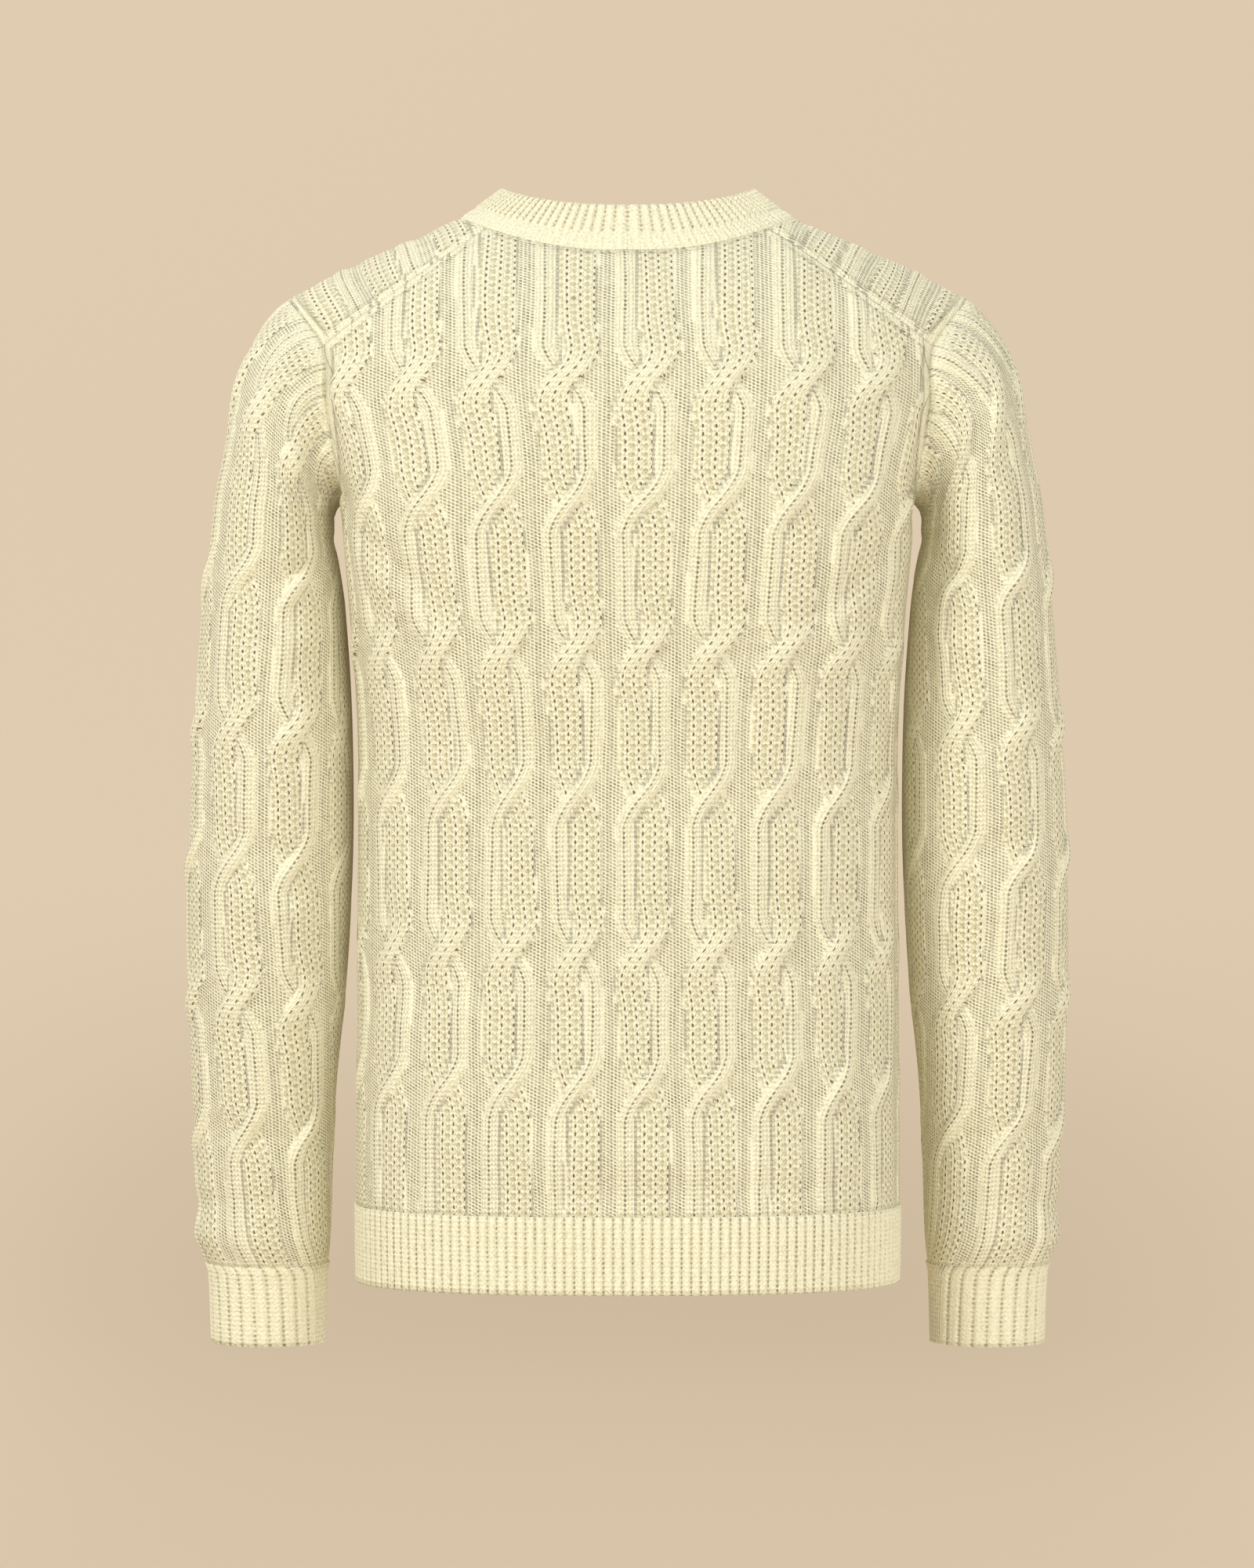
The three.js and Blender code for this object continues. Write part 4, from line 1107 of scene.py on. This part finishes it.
@dataclass
class Neckband:
    """The ribbed crew neckband with the chain that links it to the body."""

    sweater: Sweater
    side: float = 78.0
    back: float = 52.0
    front: float = 76.0
    peak: float = 20.5
    back_dip: float = 16.0
    front_dip: float = 78.0
    count: int = 98
    lift: float = 1.2
    chain: float = 0.36
    per_rib: int = 10
    rows: int = 18

    def band(self, material: bpy.types.Material) -> bpy.types.Object:
        """The neckband."""
        s, w = np.meshgrid(
            np.linspace(-1.0, 1.0, self.count * self.per_rib + 1), np.linspace(-0.012, 1.0, self.rows + 1)
        )
        form = self.sweater.body.collar(s, w, self)
        turns = (s + 1.0) / 2.0 * self.count
        up, groove = ribs(turns)
        ribbed = ease((w - self.chain) / 0.04)
        link = np.clip(1.0 - ((w - self.chain / 2) / (self.chain / 2)) ** 2, 0.0, 1.0) ** 0.6
        slant = turns * 1.25 + w / self.chain * 0.6
        twist = 0.35 * np.sin(2.0 * math.pi * slant) + 0.12 * np.sin(turns * 2.9)
        height = 0.1 + self.lift * up * ribbed + (0.85 + 0.8 * twist) * link * (1.0 - ribbed)
        zero = np.zeros_like(up)
        # Painted shade: the rib grooves and the gaps between the chain's links make up the groove map, which darkens
        # the yarn.
        link_gap = np.clip(-np.sin(2.0 * math.pi * slant), 0.0, 1.0) * (1.0 - ribbed)
        hollow_shade = np.clip(groove * ribbed + 0.3 * link_gap, 0.0, 1.0)
        found = Stitches(height, (turns + 3.0) * 4.5, w * 29.0, zero, zero, zero, 0.7 - 0.7 * hollow_shade, zero, hollow_shade)
        cloth = Cloth("neck_band", form, found, Closure.TUBE, outward=1.0)
        return self.sweater.dress(cloth.build(), "neckband", material, (0.58, 0.034), 0.0185)


@dataclass
class Studio:
    """Pale floor that curves up far behind the sweater, soft light and the camera."""

    floor_level: float = -1.25
    wall_at: float = -6.0
    colour: Colour = (0.10, 0.082, 0.060, 1.0)
    glow: Colour = (0.625, 0.505, 0.362, 1.0)
    # Dimmer glow where the painted shadow low down under the sweater falls.
    shadow_glow: Colour = (0.475, 0.380, 0.262, 1.0)

    def floor(self) -> bpy.types.Object:
        """A floor that runs up into a wall."""
        shape = bmesh.new()
        line = [shape.verts.new((-9.0, 6.0, self.floor_level)), shape.verts.new((9.0, 6.0, self.floor_level))]
        edge = shape.edges.new(line)
        bend = 1.6
        steps = [Vector((0.0, self.wall_at + bend - 6.0, 0.0))]
        for k in range(12):
            angle = math.pi / 2 * (k + 0.5) / 12
            length = 2 * bend * math.sin(math.pi / 48)
            steps.append(Vector((0.0, -math.cos(angle) * length, math.sin(angle) * length)))
        steps.append(Vector((0.0, 0.0, 7.0)))
        for step in steps:
            grown = bmesh.ops.extrude_edge_only(shape, edges=[edge])["geom"]
            bmesh.ops.translate(shape, vec=step, verts=[g for g in grown if isinstance(g, bmesh.types.BMVert)])
            edge = next(
                g for g in grown if isinstance(g, bmesh.types.BMEdge) and all(v in grown for v in g.verts)
            )
        bmesh.ops.recalc_face_normals(shape, faces=shape.faces[:])
        mesh = bpy.data.meshes.new("studio_floor")
        shape.to_mesh(mesh)
        shape.free()
        mesh.shade_smooth()
        made = bpy.data.objects.new("studio_floor", mesh)
        bpy.context.scene.collection.objects.link(made)
        made.data.materials.append(self.paint())
        return made

    def paint(self) -> bpy.types.Material:
        """Warm matt paint, a little darker low down under the sweater, where a soft shadow is painted."""
        made = bpy.data.materials.new("studio_paint")
        made.use_nodes = True
        book = NodeBook(made.node_tree)
        place = book.node("ShaderNodeTexCoord", {}, {}, "Object")
        x, z = (book.node("ShaderNodeSeparateXYZ", {}, {"Vector": place}, k) for k in (0, 2))
        # Painted shadow: the glow dims low down, most under the sweater's middle.
        low = z.between(-0.5, -1.2) * ((x * x).between(1.6, 0.0) * 0.55 + 0.3)
        glow = book.node("ShaderNodeMix", {"data_type": "RGBA"}, {0: low, 6: self.glow, 7: self.shadow_glow}, 2)
        paint = {"Base Color": self.colour, "Roughness": 0.95, "Emission Color": glow, "Emission Strength": 1.0}
        shader = book.node("ShaderNodeBsdfPrincipled", {}, paint)
        end = book.tree.nodes.new("ShaderNodeOutputMaterial")
        book.tree.links.new(shader.socket, end.inputs["Surface"])
        return made

    def light(self, name: str, place: tuple, aim: tuple, size: float, power: float, colour: tuple) -> None:
        """Hang one soft square light that faces a point."""
        lamp = bpy.data.lights.new(name, "AREA")
        lamp.size = size
        lamp.energy = power
        lamp.color = colour
        held = bpy.data.objects.new(name, lamp)
        held.location = place
        held.rotation_euler = (Vector(aim) - Vector(place)).to_track_quat("-Z", "Y").to_euler()
        bpy.context.scene.collection.objects.link(held)

    def camera(self) -> None:
        """Stand the camera level behind the sweater, at the middle of its height."""
        lens = bpy.data.cameras.new("camera")
        lens.sensor_width = 36.0
        lens.lens = 105.5
        lens.clip_start, lens.clip_end = 0.1, 60.0
        held = bpy.data.objects.new("camera", lens)
        held.location = (0.0005, 2.86, -0.349)
        held.rotation_euler = (math.pi / 2, 0.0, math.pi)
        bpy.context.scene.collection.objects.link(held)
        bpy.context.scene.camera = held

    def build(self) -> None:
        """Set up the whole studio."""
        self.floor()
        world = bpy.data.worlds.new("studio_air")
        world.use_nodes = True
        air = world.node_tree.nodes["Background"]
        air.inputs["Color"].default_value = (0.80, 0.80, 0.80, 1.0)
        air.inputs["Strength"].default_value = 0.72
        bpy.context.scene.world = world
        aim = (0.0, 0.0, -0.33)
        self.light("key", (2.4, 1.9, 1.7), aim, 1.0, 66.0, (1.0, 0.99, 0.97))
        self.light("fill", (-1.5, 3.3, -0.5), aim, 2.4, 80.0, (1.0, 0.99, 0.97))
        self.light("front_fill", (-0.6, -3.2, 1.4), aim, 2.4, 50.0, (1.0, 0.99, 0.97))
        self.light("wall_wash", (2.5, -2.0, 3.0), (0.0, -6.0, -0.2), 3.0, 95.0, (1.0, 0.99, 0.98))
        self.camera()
        view = bpy.context.scene.view_settings
        view.view_transform = "Standard"
        view.look = "None"


def main() -> None:
    """Build the sweater piece by piece, then the studio."""
    logging.basicConfig(level=logging.INFO, format="%(name)s %(message)s")
    sweater = Sweater()
    yarn = sweater.yarn.material()
    panels = Panels(sweater)
    panels.back(yarn)
    panels.front(yarn)
    hems = Hems(sweater)
    hems.band("back_hem_rib", "hem_back", 1, yarn)
    hems.band("front_hem_rib", "hem_front", -1, yarn)
    sleeves = Sleeves(sweater)
    cuffs = Cuffs(sweater)
    for side, hand in (("left", 1), ("right", -1)):
        sleeves.sleeve(f"{side}_sleeve", f"sleeve_{side}", hand, yarn)
        cuffs.cuff(f"{side}_cuff_rib", f"cuff_{side}", hand, yarn)
    Neckband(sweater).band(yarn)
    Studio().build()


if __name__ == "__main__":
    main()
